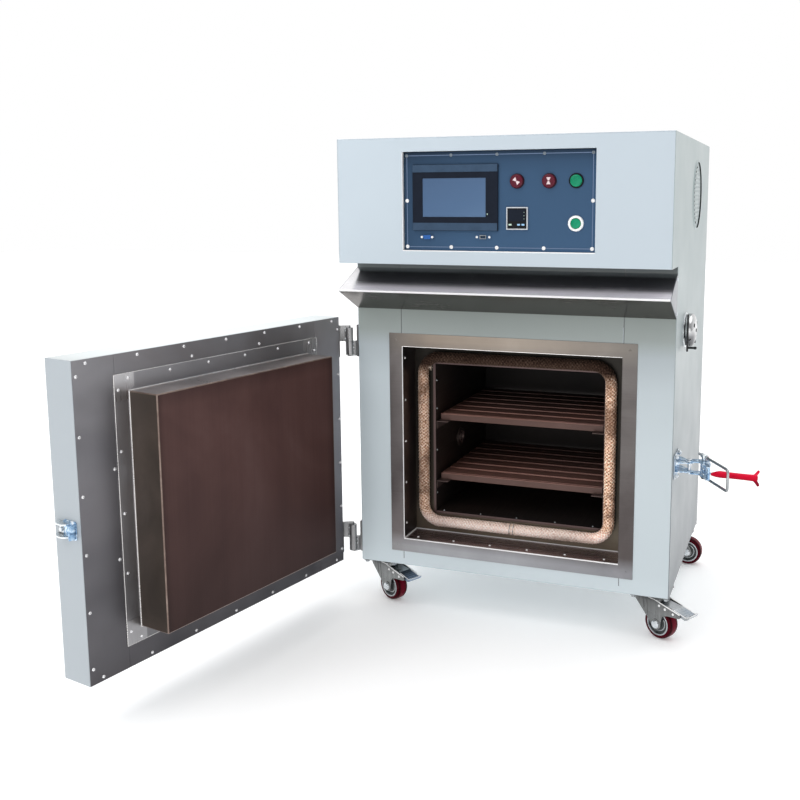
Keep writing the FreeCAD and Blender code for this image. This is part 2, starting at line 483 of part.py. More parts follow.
# ---------------------------------------------------------------- side vent: fixed tube, turning cap with a lever along its rim
vent_tube = fuse("vent_tube", [
    cyl("vent_pipe", "X", "liner_half+liner_sheet", "vent_y", "vent_z", "vent_radius", "body_half-liner_half-liner_sheet"),
    cyl("vent_flange", "X", "body_half", "vent_y", "vent_z", "cap_radius+3", "3"),
])
node(cut("vent_bored", vent_tube, [cyl("vent_bore", "X", "liner_half", "vent_y", "vent_z", "vent_radius-2", "body_half-liner_half+5")]), "side_port")
cap = fuse("cap_solid", [
    cyl("cap_disc", "X", "0", "0", "0", "cap_radius", "cap_length"),
    cyl("cap_spigot", "X", "-14", "0", "0", "vent_radius-2.4", "14"),
    box("cap_lever", "5", "9", "-cap_radius-5.5", "-cap_radius+1.5", "-45", "40"),
    cyl("cap_peg", "X", "8", "-cap_radius-2", "-36", "3.5", "20"),
])
cap_tools = []
for i in range(3):
    slot = doc.addObject("Part::Box", "cap_slot_%d" % i)
    slot.Length, slot.Width, slot.Height = 42.0, 9.0, 11.0
    turn = Rotation(Vector(1, 0, 0), 120.0 * i + 90.0)
    slot.Placement = Placement(turn.multVec(Vector(-20, -4.5, 4)), turn)
    cap_tools.append(slot)
vent_cap = cut("cap_cut", cap, cap_tools)
node(vent_cap, "vent_cap", Placement(Vector(dim("body_half") + 3.4, dim("vent_y"), dim("vent_z")), Rotation()))

# ---------------------------------------------------------------- shelves: front bar, side bars and slats
for level, label in (("upper_shelf_z", "shelf_upper"), ("lower_shelf_z", "shelf_lower")):
    bars = [
        box(label + "_front", "-shelf_half", "shelf_half", "shelf_front", "shelf_front+8", level, level + "+shelf_bar"),
        box(label + "_side_l", "-shelf_half", "-shelf_half+20", "shelf_front+8", "shelf_back", level, level + "+shelf_bar-slat_thick"),
        box(label + "_side_r", "shelf_half-20", "shelf_half", "shelf_front+8", "shelf_back", level, level + "+shelf_bar-slat_thick"),
    ]
    for i in range(7):
        y0 = "shelf_front+10+%d*slat_pitch" % i
        y1 = y0 + "+slat_width" if i < 6 else "shelf_back"
        bars.append(box("%s_slat_%d" % (label, i), "-shelf_half", "shelf_half", y0, y1, level + "+shelf_bar-slat_thick", level + "+shelf_bar"))
    node(group(label + "_bars", bars), label)

# ---------------------------------------------------------------- hinges: cabinet halves
hx, hy = dim("hinge_x"), dim("hinge_y")
cabinet_leaves = []
for tag, zc in (("upper", "hinge_upper_z"), ("lower", "hinge_lower_z")):
    arm = [("-body_half-leaf_sheet", "4"), ("-body_half", "4"), ("-body_half", "14"), ("-body_half-leaf_sheet", "14"), ("hinge_x-5", "hinge_y+7"),
           ("hinge_x-6", "hinge_y"), ("hinge_x+4", "hinge_y-2")]
    cabinet_leaves.append(fuse("cabinet_leaf_" + tag, [
        box("cabinet_plate_" + tag, "-body_half-leaf_sheet", "-body_half", "4", "44", zc + "-leaf_height/2", zc + "+leaf_height/2"),
        prism("cabinet_arm_" + tag, "XY", arm, zc + "-knuckle_height-4", zc + "-0.4"),
        cyl("cabinet_knuckle_" + tag, "Z", "hinge_x", "hinge_y", zc + "-knuckle_height", "knuckle_radius", "knuckle_height-0.4"),
        cyl("cabinet_pin_" + tag, "Z", "hinge_x", "hinge_y", zc + "-0.4", "pin_radius", "28"),
    ]))
node(group("cabinet_leaf_pair", cabinet_leaves), "hinge_cabinet_leaves")

# ---------------------------------------------------------------- door, drawn closed
SWING = Placement(Vector(0, 0, 0), Rotation(Vector(0, 0, 1), -dim("open_angle")), Vector(hx, hy, 0))
outer_y = "door_inner_y-door_thick"
shell = box("door_tray", "-body_half", "body_half", outer_y, "door_inner_y-skin", "door_low", "door_high")
hollow = box("door_hollow", "-body_half+skin", "body_half-skin", outer_y + "+skin", "door_inner_y", "door_low+skin", "door_high-skin")
node(cut("door_tray_cut", shell, [hollow]), "door_shell", SWING)
node(group("door_sheet_set", [box("door_sheet", "-body_half+0.8", "body_half-0.8", "door_inner_y-skin", "door_inner_y", "door_low+0.8", "door_high-0.8")]),
     "door_inner_sheet", SWING)
node(group("door_flange_set", [box("door_flange", "-flange_half", "flange_half", "door_inner_y", "door_inner_y+1.5", "flange_low", "flange_high")]),
     "door_plug_flange", SWING)
plug = box("plug_block", "-plug_half", "plug_half", "door_inner_y+1.5", "plug_face_y", "plug_low", "plug_high")
plug_core = box("plug_core", "-plug_half+1.5", "plug_half-1.5", "door_inner_y", "plug_face_y-1.5", "plug_low+1.5", "plug_high-1.5")
node(cut("plug_shell", plug, [plug_core]), "door_plug", SWING)
node(group("door_wool", [
    box("door_wool_slab", "-body_half+3", "body_half-3", outer_y + "+3", "door_inner_y-2.5", "door_low+3", "door_high-3"),
    box("door_wool_plug", "-plug_half+3", "plug_half-3", "door_inner_y+2.5", "plug_face_y-3", "plug_low+3", "plug_high-3"),
]), "door_insulation", SWING)

edge_z = [142.0 + 110.4 * i for i in range(6)]
edge_x = [-351.0 + 117.0 * i for i in range(7)]
border = [(sx * 372.5, z) for sx in (-1, 1) for z in edge_z] + [(x, z) for x in edge_x for z in (119.0, 715.5)]
border += [(97.0, 693.5), (-99.0, 693.5), (299.5, 508.0), (299.5, 332.0)]
rivets = [(sx * 283.0, z) for sx in (-1, 1) for z in (182.0, 299.5, 417.5, 538.0, 655.0)]
rivets += [(x, z) for x in (-264.0, -157.5, -53.0, 53.0, 156.0, 259.0) for z in (163.5, 675.0)]
door_heads = heads("d", border, 3.6, 2.4, "Y", dim("door_inner_y")) + heads("d", rivets, 3.0, 1.8, "Y", dim("door_inner_y") + 1.5)
node(feature("door_head_set", Part.makeCompound(door_heads)), "door_screws", SWING)

strike_ear = [("body_half+2.5", "-80"), ("body_half+6", "-81"), ("body_half+14", "-75"), ("body_half+16.5", "-67"), ("body_half+16", "-57"),
              ("body_half+11", "-50"), ("body_half+2.5", "-48")]
node(group("strike", [
    box("strike_plate", "body_half", "body_half+2.5", "-82", "strike_y+3", "latch_z-19", "latch_z+19"),
    box("strike_wall", "body_half+2.5", "body_half+strike_high", "strike_y", "strike_y+3", "latch_z-14", "latch_z+14"),
    prism("strike_ear_low", "XY", strike_ear, "latch_z-13.4", "latch_z-10.8"),
    prism("strike_ear_high", "XY", strike_ear, "latch_z+10.8", "latch_z+13.4"),
    cyl("strike_bolt_a", "X", "body_half+2.5", "-57", "latch_z", "4.5", "3"),
    cyl("strike_bolt_b", "X", "body_half+2.5", "-72", "latch_z", "4.5", "3"),
]), "strike_hook", SWING)

door_leaves = []
for tag, zc in (("upper", "hinge_upper_z"), ("lower", "hinge_lower_z")):
    arm = [("-body_half-leaf_sheet", "-26"), ("hinge_x+3", "hinge_y+2"), ("hinge_x-6", "hinge_y"), ("hinge_x-5", "hinge_y-7"),
           ("-body_half-leaf_sheet", "-37"), ("-body_half", "-37"), ("-body_half", "-26")]
    solid = fuse("door_leaf_solid_" + tag, [
        box("door_plate_" + tag, "-body_half-leaf_sheet", "-body_half", "-66", "-26", zc + "-leaf_height/2", zc + "+leaf_height/2"),
        prism("door_arm_" + tag, "XY", arm, zc, zc + "+knuckle_height+5"),
        cyl("door_knuckle_" + tag, "Z", "hinge_x", "hinge_y", zc, "knuckle_radius", "knuckle_height"),
    ])
    door_leaves.append(cut("door_leaf_" + tag, solid, [cyl("door_eye_" + tag, "Z", "hinge_x", "hinge_y", zc + "-1", "pin_radius+pin_clear", "29.5")]))
node(group("door_leaf_pair", door_leaves), "hinge_door_leaves", SWING)

# ---------------------------------------------------------------- toggle latch
base_plate = [("body_half+2.5", "24"), ("body_half+18", "27"), ("latch_px+3", "latch_py-10"), ("latch_px+10", "latch_py-2"), ("latch_px+8", "latch_py+8"),
              ("body_half+17", "72"), ("body_half+2.5", "86")]
base_solids = [
    box("latch_flange", "body_half", "body_half+2.5", "18", "92", "latch_z-27", "latch_z+27"),
    prism("latch_cheek_low", "XY", base_plate, "latch_z-11.5", "latch_z-9"),
    prism("latch_cheek_high", "XY", base_plate, "latch_z+9", "latch_z+11.5"),
    cyl("latch_pin_mid", "Z", "latch_px", "latch_py", "latch_z-9", "4", "18"),
    cyl("latch_pin_high", "Z", "latch_px", "latch_py", "latch_z+11.5", "4", "3.7"),
    cyl("latch_pin_low", "Z", "latch_px", "latch_py", "latch_z-15.2", "4", "3.7"),
    cyl("latch_head_high", "Z", "latch_px", "latch_py", "latch_z+15.2", "6", "2"),
    cyl("latch_head_low", "Z", "latch_px", "latch_py", "latch_z-17.2", "6", "2"),
]
for i, (y, dz) in enumerate(((31, -21), (31, 21), (80, -21), (80, 21))):
    base_solids.append(cyl("latch_bolt_%d" % i, "X", "body_half+2.5", y, "latch_z+(%d)" % dz, "5.2", "4.5"))
node(group("latch_base_set", base_solids), "clamp_base")

plate = [("latch_px-9", "latch_py-4"), ("latch_px-7", "latch_py+8"), ("latch_px", "latch_py+11"), ("trunnion_x-4", "trunnion_y+10"),
         ("trunnion_x+8", "trunnion_y+8"), ("trunnion_x+11", "trunnion_y-2"), ("grip_x-1", "grip_y+8"), ("grip_x-1", "grip_y-7"),
         ("grip_x-8", "grip_y-7"), ("grip_x-18", "grip_y+10"), ("trunnion_x-10", "latch_py-11"), ("latch_px+4", "latch_py-11")]
tang = doc.addObject("Part::Box", "handle_tang")
tang.setExpression("Length", bind("grip_length-2"))
tang.Width, tang.Height = 5.0, 9.0
tilt = Rotation(Vector(0, 0, 1), dim("grip_angle"))
G0 = Vector(dim("grip_x"), dim("grip_y"), dim("latch_z"))
tang.Placement = Placement(G0.add(tilt.multVec(Vector(-4, -2.5, -4.5))), tilt)
handle = fuse("handle_solid", [
    prism("handle_plate_low", "XY", plate, "latch_z-14.9", "latch_z-12.2"),
    prism("handle_plate_high", "XY", plate, "latch_z+12.2", "latch_z+14.9"),
    prism("handle_bridge", "XY", [("grip_x-8", "grip_y-7"), ("grip_x-1", "grip_y-7"), ("grip_x-1", "grip_y+8"), ("grip_x-5", "grip_y+8")],
          "latch_z-12.2", "latch_z+12.2"),
    prism("handle_web", "XY", [("grip_x-25", "grip_y+27"), ("grip_x-8", "grip_y-7"), ("grip_x-5.2", "grip_y-7"), ("grip_x-22", "grip_y+27")],
          "latch_z-12.2", "latch_z+12.2"),
    tang,
    cyl("handle_stub_high", "Z", "trunnion_x", "trunnion_y", "latch_z+14.9", "4", "5"),
    cyl("handle_stub_low", "Z", "trunnion_x", "trunnion_y", "latch_z-19.9", "4", "5"),
])
node(cut("handle_bored", handle, [cyl("handle_eye", "Z", "latch_px", "latch_py", "latch_z-20", "4+pin_clear", "40")]), "clamp_handle")

grip_solid = fuse("grip_solid", [
    box("grip_bar", "0.6", "grip_length-4", "-grip_thick/2", "grip_thick/2", "-grip_high/2", "grip_high/2"),
    prism("grip_tail", "XZ", [("grip_length-16", "grip_high/2"), ("grip_length-5", "18"), ("grip_length", "18"), ("grip_length", "13"), ("grip_length-3.6", "3.5"),
                              ("grip_length-3.6", "-3.5"), ("grip_length", "-13"), ("grip_length", "-18"), ("grip_length-5", "-18"), ("grip_length-16", "-grip_high/2")],
          "-grip_thick/2", "grip_thick/2"),
])
grip = cut("grip_sleeve", grip_solid, [box("grip_pocket", "0", "grip_length-5.9", "-2.5", "2.5", "-4.5", "4.5")])
node(grip, "clamp_grip", Placement(G0, tilt))

bl, bh, br = dim("bail_length"), dim("bail_half"), dim("bail_rod")
bend = 8.0
cos45 = math.cos(math.radians(45))
bail_path = Part.Wire([
    Part.LineSegment(Vector(-27, 0, bh), Vector(bl - bend, 0, bh)).toShape(),
    Part.Arc(Vector(bl - bend, 0, bh), Vector(bl - bend + bend * cos45, 0, bh - bend + bend * cos45), Vector(bl, 0, bh - bend)).toShape(),
    Part.LineSegment(Vector(bl, 0, bh - bend), Vector(bl, 0, -bh + bend)).toShape(),
    Part.Arc(Vector(bl, 0, -bh + bend), Vector(bl - bend + bend * cos45, 0, -bh + bend - bend * cos45), Vector(bl - bend, 0, -bh)).toShape(),
    Part.LineSegment(Vector(bl - bend, 0, -bh), Vector(-27, 0, -bh)).toShape(),
])
bail_ring = Part.Wire([Part.Circle(Vector(-27, 0, bh), Vector(1, 0, 0), br).toShape()])
bail = bail_path.makePipeShell([bail_ring], True, False)
extras = []
for s in (-1, 1):
    z0 = 15.4 if s > 0 else -27.4
    block = Part.makeCylinder(6.5, 12.0, Vector(0, 0, z0), Vector(0, 0, 1))
    eye = Part.makeCylinder(4.0 + dim("pin_clear"), 4.8, Vector(0, 0, 15.4 if s > 0 else -20.2), Vector(0, 0, 1))
    extras.append(block.cut(eye))
    extras.append(Part.makeCylinder(5.5, 5.0, Vector(-14, 0, s * bh), Vector(1, 0, 0)))
    extras.append(Part.makeCylinder(5.5, 5.0, Vector(9, 0, s * bh), Vector(1, 0, 0)))
bail = bail.fuse(extras).removeSplitter()
node(feature("bail_solid", bail), "clamp_ubolt",
     Placement(Vector(dim("trunnion_x"), dim("trunnion_y"), dim("latch_z")), Rotation(Vector(0, 0, 1), dim("bail_angle"))))

# ---------------------------------------------------------------- casters
pads = []
for tag, sx, y in (("fl", "-", "caster_front_y"), ("fr", "", "caster_front_y"), ("rl", "-", "caster_rear_y"), ("rr", "", "caster_rear_y")):
    cx = sx + "caster_x"
    members = [
        box("pad_" + tag, cx + "-plate_long/2", cx + "+plate_long/2", y + "-plate_wide/2", y + "+plate_wide/2", "base_z-plate_thick", "base_z"),
        cyl("race_" + tag, "Z", cx, y, "base_z-8.5", "27", "4.5"),
    ]
    for i, (dx, dy) in enumerate(((-37, -35), (-37, 35), (37, -35), (37, 35))):
        members.append(cyl("pad_bolt_%s_%d" % (tag, i), "Z", cx + "+(%d)" % dx, y + "+(%d)" % dy, "base_z-plate_thick-6.5", "6", "6.5"))
    pads.append(cut("pad_bored_" + tag, fuse("pad_solid_" + tag, members), [cyl("pad_bore_" + tag, "Z", cx, y, "base_z-10", "5.2+pin_clear", "9.5")]))
node(group("pad_set", pads), "caster_plates")

# One fork and one wheel are drawn about the swivel axis with the trail along +X, and placed four times.
tip = []
for deg in (8, -20, -50, -80, -110, -140, -168):
    tip.append(("trail+%.3f" % (13 * math.cos(math.radians(deg))), "wheel_radius+(%.3f)" % (13 * math.sin(math.radians(deg)))))
bare_cheek = [(-32, 95), (-32, 84)] + tip[::-1] + [(37, 50), (29, 64), (22, 80), (19, 95)]
cheek = [(-32, 95), (-32, 84)] + tip[::-1] + [(43, 60), (52, 64.5), (66, 67), (89, 68.5), (94, 72), (92, 78.6), (20, 95)]
fork_parts = [
    box("fork_crown", "-32", "30", "-fork_inside-fork_sheet", "fork_inside+fork_sheet", "95", "99.2"),
    cyl("fork_axle", "Y", "trail", "-fork_inside", "wheel_radius", "axle_radius", "2*fork_inside"),
    cyl("fork_nut_a", "Y", "trail", "-fork_inside-fork_sheet-6", "wheel_radius", "9", "6"),
    cyl("fork_nut_b", "Y", "trail", "fork_inside+fork_sheet", "wheel_radius", "9", "6"),
    cyl("fork_kingpin", "Z", "0", "0", "99.2", "5.2", "7"),
]
# The front forks reach out to shield the pedal; the rear ones stop at the wheel.
front_parts = [
    prism("fork_cheek_a", "XZ", cheek, "-fork_inside-fork_sheet", "-fork_inside"),
    prism("fork_cheek_b", "XZ", cheek, "fork_inside", "fork_inside+fork_sheet"),
]
rear_parts = [
    prism("fork_bare_a", "XZ", bare_cheek, "-fork_inside-fork_sheet", "-fork_inside"),
    prism("fork_bare_b", "XZ", bare_cheek, "fork_inside", "fork_inside+fork_sheet"),
]
pedal_pin = cyl("fork_pedal_pin", "Y", "36", "-fork_inside", "84", "3", "2*fork_inside")
half_w = "wheel_width/2"
wheel = turned("wheel_turned", [
    ("axle_radius+pin_clear", "-15.5"), ("13", "-15.5"), ("13", "-11"), ("23", "-9.5"), ("25.5", "-14.5"), ("28.5", "-" + half_w), ("33", "-15.4"),
    ("wheel_radius-1.3", "-12.5"), ("wheel_radius", "-7.5"), ("wheel_radius", "7.5"), ("wheel_radius-1.3", "12.5"), ("33", "15.4"), ("28.5", half_w),
    ("25.5", "14.5"), ("23", "9.5"), ("13", "11"), ("13", "15.5"), ("axle_radius+pin_clear", "15.5")])


def droop(points):
    """The pedal's outline leans down from its pin, away from the fork."""
    c, s = math.cos(math.radians(9)), math.sin(math.radians(9))
    return [(36 + (x - 36) * c + (z - 84) * s, 84 - (x - 36) * s + (z - 84) * c) for x, z in points]


pedal_arm = prism("pedal_arm", "XZ", droop([(29, 80.6), (72, 82.5), (72, 89.5), (29, 88.5)]), "-fork_inside+2.5", "fork_inside-2.5")
pedal_tread = prism("pedal_tread", "XZ", droop([(70, 82.5), (106, 79), (112, 84), (115, 90.5), (112, 91.5), (106, 86.5), (70, 90)]), "-18.4", "18.4")
pedal = cut("pedal_solid", fuse("pedal_fused", [pedal_arm, pedal_tread]), [cyl("pedal_eye", "Y", "36", "-fork_inside", "84", "3+pin_clear", "2*fork_inside")])
upright = Rotation(Vector(1, 0, 0), 90)
for tag, sx, y in (("fl", -1, "caster_front_y"), ("fr", 1, "caster_front_y"), ("rl", -1, "caster_rear_y"), ("rr", 1, "caster_rear_y")):
    spin = Rotation(Vector(0, 0, 1), dim("swivel_" + tag))
    seat = Vector(sx * dim("caster_x"), dim(y), 0)
    front = tag[0] == "f"
    node(group("fork_" + tag, fork_parts + (front_parts + [pedal_pin] if front else rear_parts)), "caster_fork_" + tag, Placement(seat, spin))
    hub = seat.add(spin.multVec(Vector(dim("trail"), 0, dim("wheel_radius"))))
    node(group("wheel_" + tag, [wheel]), "caster_wheel_" + tag, Placement(hub, spin.multiply(upright)))
    if front:
        node(group("pedal_" + tag, [pedal]), "brake_pedal_" + tag, Placement(seat, spin))

# ---------------------------------------------------------------- recompute, test and write
doc.removeObject(probe.Name)
doc.recompute()
faults = [o.Name for o in doc.Objects if "Invalid" in o.State or "Error" in o.State]
labels = [o.Label for o in NODES]
for o in NODES:
    if o.Shape.isNull() or not o.Shape.isValid() or not o.Shape.Solids:
        faults.append(o.Label)
if faults or len(set(labels)) != len(labels) or len(labels) > 60:
    raise RuntimeError("not written: %s, %d nodes" % (faults, len(labels)))
os.makedirs("parts", exist_ok=True)
for o in NODES:
    o.Shape.exportStep("parts/%s.step" % o.Label)
for o in NODES:
    b = o.Shape.BoundBox
    print("%-22s solids %2d  x %8.2f %8.2f  y %8.2f %8.2f  z %8.2f %8.2f" % (o.Label, len(o.Shape.Solids), b.XMin, b.XMax, b.YMin, b.YMax, b.ZMin, b.ZMax))
print(len(NODES), "nodes")
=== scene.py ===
import json
import math
import random

import bmesh
import bpy
from mathutils import Matrix, Vector, noise


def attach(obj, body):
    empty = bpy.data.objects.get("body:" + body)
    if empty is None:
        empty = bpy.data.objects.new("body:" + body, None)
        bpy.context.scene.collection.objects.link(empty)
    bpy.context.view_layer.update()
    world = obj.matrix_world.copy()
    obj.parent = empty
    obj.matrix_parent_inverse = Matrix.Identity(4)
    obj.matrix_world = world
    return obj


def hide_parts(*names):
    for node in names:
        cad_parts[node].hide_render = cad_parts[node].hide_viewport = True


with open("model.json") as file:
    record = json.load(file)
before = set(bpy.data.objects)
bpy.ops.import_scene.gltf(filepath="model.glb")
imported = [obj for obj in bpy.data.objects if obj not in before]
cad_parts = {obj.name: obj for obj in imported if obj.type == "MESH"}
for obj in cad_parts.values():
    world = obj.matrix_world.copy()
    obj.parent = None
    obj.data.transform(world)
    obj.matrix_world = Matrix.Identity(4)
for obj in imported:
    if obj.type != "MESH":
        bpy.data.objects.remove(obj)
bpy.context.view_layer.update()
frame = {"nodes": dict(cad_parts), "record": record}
scene = bpy.context.scene
NODES = frame["nodes"]
random.seed(7)
MM = 0.001
pi, cos, sin, rad = math.pi, math.cos, math.sin, math.radians

# ------------------------------------------------------------------ camera, light, floor
camera = bpy.data.objects.new("camera", bpy.data.cameras.new("camera"))
scene.collection.objects.link(camera)
right = Vector((0.9398317, 0.3416179, -0.0036853))
up = Vector((-0.0466591, 0.1390358, 0.9891875))
ahead = Vector((-0.3384366, 0.9294978, -0.1466098))
turn = Matrix((right, up, -ahead)).transposed().to_4x4()
camera.matrix_world = Matrix.Translation((0.643949, -2.141466, 1.003615)) @ turn
camera.data.sensor_width = 36.0
camera.data.lens = 36.0 * 979.43 / 800.0
camera.data.shift_x = (400.0 - 452.815) / 800.0
camera.data.shift_y = (344.328 - 400.0) / 800.0
camera.data.clip_end = 100.0
scene.camera = camera

scene.view_settings.view_transform = "Standard"
scene.view_settings.look = "None"

world = bpy.data.worlds.new("studio")
scene.world = world
world.use_nodes = True
wt = world.node_tree
wt.nodes.clear()
w_out = wt.nodes.new("ShaderNodeOutputWorld")
w_bg = wt.nodes.new("ShaderNodeBackground")
w_tc = wt.nodes.new("ShaderNodeTexCoord")
w_sep = wt.nodes.new("ShaderNodeSeparateXYZ")
w_ramp = wt.nodes.new("ShaderNodeValToRGB")
w_ramp.color_ramp.elements[0].position = 0.0
w_ramp.color_ramp.elements[0].color = (0.36, 0.36, 0.37, 1)
w_ramp.color_ramp.elements[1].position = 1.0
w_ramp.color_ramp.elements[1].color = (1.0, 1.0, 1.0, 1)
w_map = wt.nodes.new("ShaderNodeMapRange")
w_map.inputs["From Min"].default_value = -1.0
w_map.inputs["From Max"].default_value = 0.45
wt.links.new(w_tc.outputs["Generated"], w_sep.inputs[0])
wt.links.new(w_sep.outputs["Y"], w_map.inputs["Value"])
wt.links.new(w_map.outputs[0], w_ramp.inputs[0])
wt.links.new(w_ramp.outputs[0], w_bg.inputs[0])
wt.links.new(w_bg.outputs[0], w_out.inputs[0])
w_bg.inputs[1].default_value = 1.0


def lamp(name, where, aim, size, power, colour=(1, 1, 1)):
    data = bpy.data.lights.new(name, "AREA")
    data.shape = "RECTANGLE"
    data.size, data.size_y = size
    data.energy = power
    data.color = colour
    ob = bpy.data.objects.new(name, data)
    ob.location = where
    ob.rotation_euler = (Vector(aim) - Vector(where)).to_track_quat("-Z", "Y").to_euler()
    scene.collection.objects.link(ob)
    return ob


lamp("key", (-1.6, -3.4, 3.2), (0, 0, 0.7), (2.4, 1.8), 42)
lamp("front", (0.5, -4.2, 1.1), (0, 0, 0.45), (3.6, 1.8), 20)
sky = bpy.data.objects.new("overhead", bpy.data.lights.new("overhead", "SUN"))
sky.data.energy = 1.25
sky.data.angle = rad(70)
sky.location = (0, 0, 5)
scene.collection.objects.link(sky)


# ------------------------------------------------------------------ materials
class Look:
    """One procedural material, made of nodes on the piece's own coordinates."""

    def __init__(self, name):
        self.mat = bpy.data.materials.new(name)
        self.mat.use_nodes = True
        self.nt = self.mat.node_tree
        self.nt.nodes.clear()
        out = self.nt.nodes.new("ShaderNodeOutputMaterial")
        self.b = self.nt.nodes.new("ShaderNodeBsdfPrincipled")
        self.nt.links.new(self.b.outputs[0], out.inputs[0])
        self.coord = self.nt.nodes.new("ShaderNodeTexCoord").outputs["Object"]
        self.normal = None

    def put(self, name, value):
        self.b.inputs[name].default_value = value

    def feed(self, name, socket):
        self.nt.links.new(socket, self.b.inputs[name])

    def vec(self, scale=(1, 1, 1), turn=(0, 0, 0), move=(0, 0, 0)):
        n = self.nt.nodes.new("ShaderNodeMapping")
        n.inputs["Scale"].default_value = scale
        n.inputs["Rotation"].default_value = turn
        n.inputs["Location"].default_value = move
        self.nt.links.new(self.coord, n.inputs["Vector"])
        return n.outputs[0]

    def noise(self, scale, detail=3.0, rough=0.55, stretch=None, dist=0.0, move=(0, 0, 0)):
        n = self.nt.nodes.new("ShaderNodeTexNoise")
        n.inputs["Scale"].default_value = scale
        n.inputs["Detail"].default_value = detail
        n.inputs["Roughness"].default_value = rough
        n.inputs["Distortion"].default_value = dist
        v = self.vec(stretch or (1, 1, 1), move=move)
        self.nt.links.new(v, n.inputs["Vector"])
        return n.outputs["Fac"]

    def axis(self, which):
        n = self.nt.nodes.new("ShaderNodeSeparateXYZ")
        self.nt.links.new(self.coord, n.inputs[0])
        return n.outputs[which]

    def span(self, socket, a, b, lo=0.0, hi=1.0):
        n = self.nt.nodes.new("ShaderNodeMapRange")
        n.inputs["From Min"].default_value = a
        n.inputs["From Max"].default_value = b
        n.inputs["To Min"].default_value = lo
        n.inputs["To Max"].default_value = hi
        self.nt.links.new(socket, n.inputs["Value"])
        return n.outputs[0]

    def math(self, op, a, b):
        n = self.nt.nodes.new("ShaderNodeMath")
        n.operation = op
        for i, v in enumerate((a, b)):
            if isinstance(v, (int, float)):
                n.inputs[i].default_value = v
            else:
                self.nt.links.new(v, n.inputs[i])
        return n.outputs[0]

    def ramp(self, fac, stops):
        n = self.nt.nodes.new("ShaderNodeValToRGB")
        r = n.color_ramp
        while len(r.elements) < len(stops):
            r.elements.new(0.5)
        for e, (p, c) in zip(r.elements, stops):
            e.position = p
            e.color = (c[0], c[1], c[2], 1)
        self.nt.links.new(fac, n.inputs[0])
        return n.outputs[0]

    def mix(self, fac, a, b):
        n = self.nt.nodes.new("ShaderNodeMix")
        n.data_type = "RGBA"
        self.nt.links.new(fac, n.inputs["Factor"])
        for key, v in ((6, a), (7, b)):
            if isinstance(v, tuple):
                n.inputs[key].default_value = (v[0], v[1], v[2], 1)
            else:
                self.nt.links.new(v, n.inputs[key])
        return n.outputs[2]

    def times(self, a, b):
        n = self.nt.nodes.new("ShaderNodeMix")
        n.data_type = "RGBA"
        n.blend_type = "MULTIPLY"
        n.inputs["Factor"].default_value = 1.0
        self.nt.links.new(a, n.inputs[6])
        self.nt.links.new(b, n.inputs[7])
        return n.outputs[2]

    def bump(self, height, strength, distance):
        n = self.nt.nodes.new("ShaderNodeBump")
        n.inputs["Strength"].default_value = strength
        n.inputs["Distance"].default_value = distance
        self.nt.links.new(height, n.inputs["Height"])
        if self.normal is not None:
            self.nt.links.new(self.normal, n.inputs["Normal"])
        self.normal = n.outputs[0]
        self.nt.links.new(self.normal, self.b.inputs["Normal"])


def scaled(c, k):
    return tuple(min(1.0, v * k) for v in c)


def paint(name, colour, rough=0.36, shade=None, axis="Z", shade2=None, axis2="X", spec=0.42):
    """Powder coat: slight tone drift, orange peel, uneven gloss. shade and shade2 multiply the tone by (position,
    factor) stops along an axis: painted light and shade.
    """
    m = Look(name)
    drift = m.noise(1.7, 2.0)
    col = m.ramp(drift, [(0.3, scaled(colour, 0.965)), (0.7, scaled(colour, 1.025))])
    fine = m.noise(34.0, 4.0, move=(3, 1, 2))
    col = m.mix(m.span(fine, 0.62, 0.78, 0.0, 0.10), col, scaled(colour, 0.86))
    for stops, way in ((shade, axis), (shade2, axis2)):
        if stops:
            a, b = stops[0][0], stops[-1][0]
            tone = m.ramp(m.span(m.axis(way), a, b), [((q - a) / (b - a), c if isinstance(c, tuple) else (c, c, c)) for q, c in stops])
            col = m.times(col, tone)
    m.feed("Base Color", col)
    m.feed("Roughness", m.span(m.noise(7.0, 3.0), 0.3, 0.7, rough - 0.05, rough + 0.06))
    m.put("Specular IOR Level", spec)
    m.bump(m.noise(620.0, 2.0), 0.05, 0.0004)
    return m.mat


def steel(name, dark, light, rough, along="X", tint=None, across=420.0, scratch=0.08, metallic=1.0, grain=0.16, shade=None, axis="Z", shade2=None, axis2="X", wander=0.05):
    """Brushed sheet: fine streaks along one axis, cloudy tone, smudges. shade and shade2 multiply the tone by
    (position, factor) stops along an axis: painted light and shade.
    """
    m = Look(name)
    k = {"X": (0.012, 1, 1), "Y": (1, 0.012, 1), "Z": (1, 1, 0.012)}[along]
    streak = m.noise(across, 2.0, stretch=k)
    cloud = m.noise(3.2, 3.0, dist=0.4)
    both = m.math("ADD", m.math("MULTIPLY", streak, grain), m.math("MULTIPLY", cloud, 1.0 - grain))
    col = m.ramp(both, [(0.34, dark), (0.66, light)])
    if tint:
        col = m.mix(m.span(m.noise(2.1, 4.0, dist=1.0, move=(5, 2, 8)), 0.45, 0.7, 0.0, 0.75), col, tint)
    for stops, way in ((shade, axis), (shade2, axis2)):
        if stops:
            a, b = stops[0][0], stops[-1][0]
            tone = m.ramp(m.span(m.axis(way), a, b), [((q - a) / (b - a), c if isinstance(c, tuple) else (c, c, c)) for q, c in stops])
            col = m.times(col, tone)
    m.feed("Base Color", col)
    m.put("Metallic", metallic)
    smudge = m.noise(11.0, 4.0, move=(2, 7, 1))
    r = m.math("ADD", m.span(streak, 0.3, 0.7, rough - wander, rough + wander), m.span(smudge, 0.5, 0.75, 0.0, 0.10))
    m.feed("Roughness", r)
    m.bump(streak, scratch, 0.0001)
    return m.mat


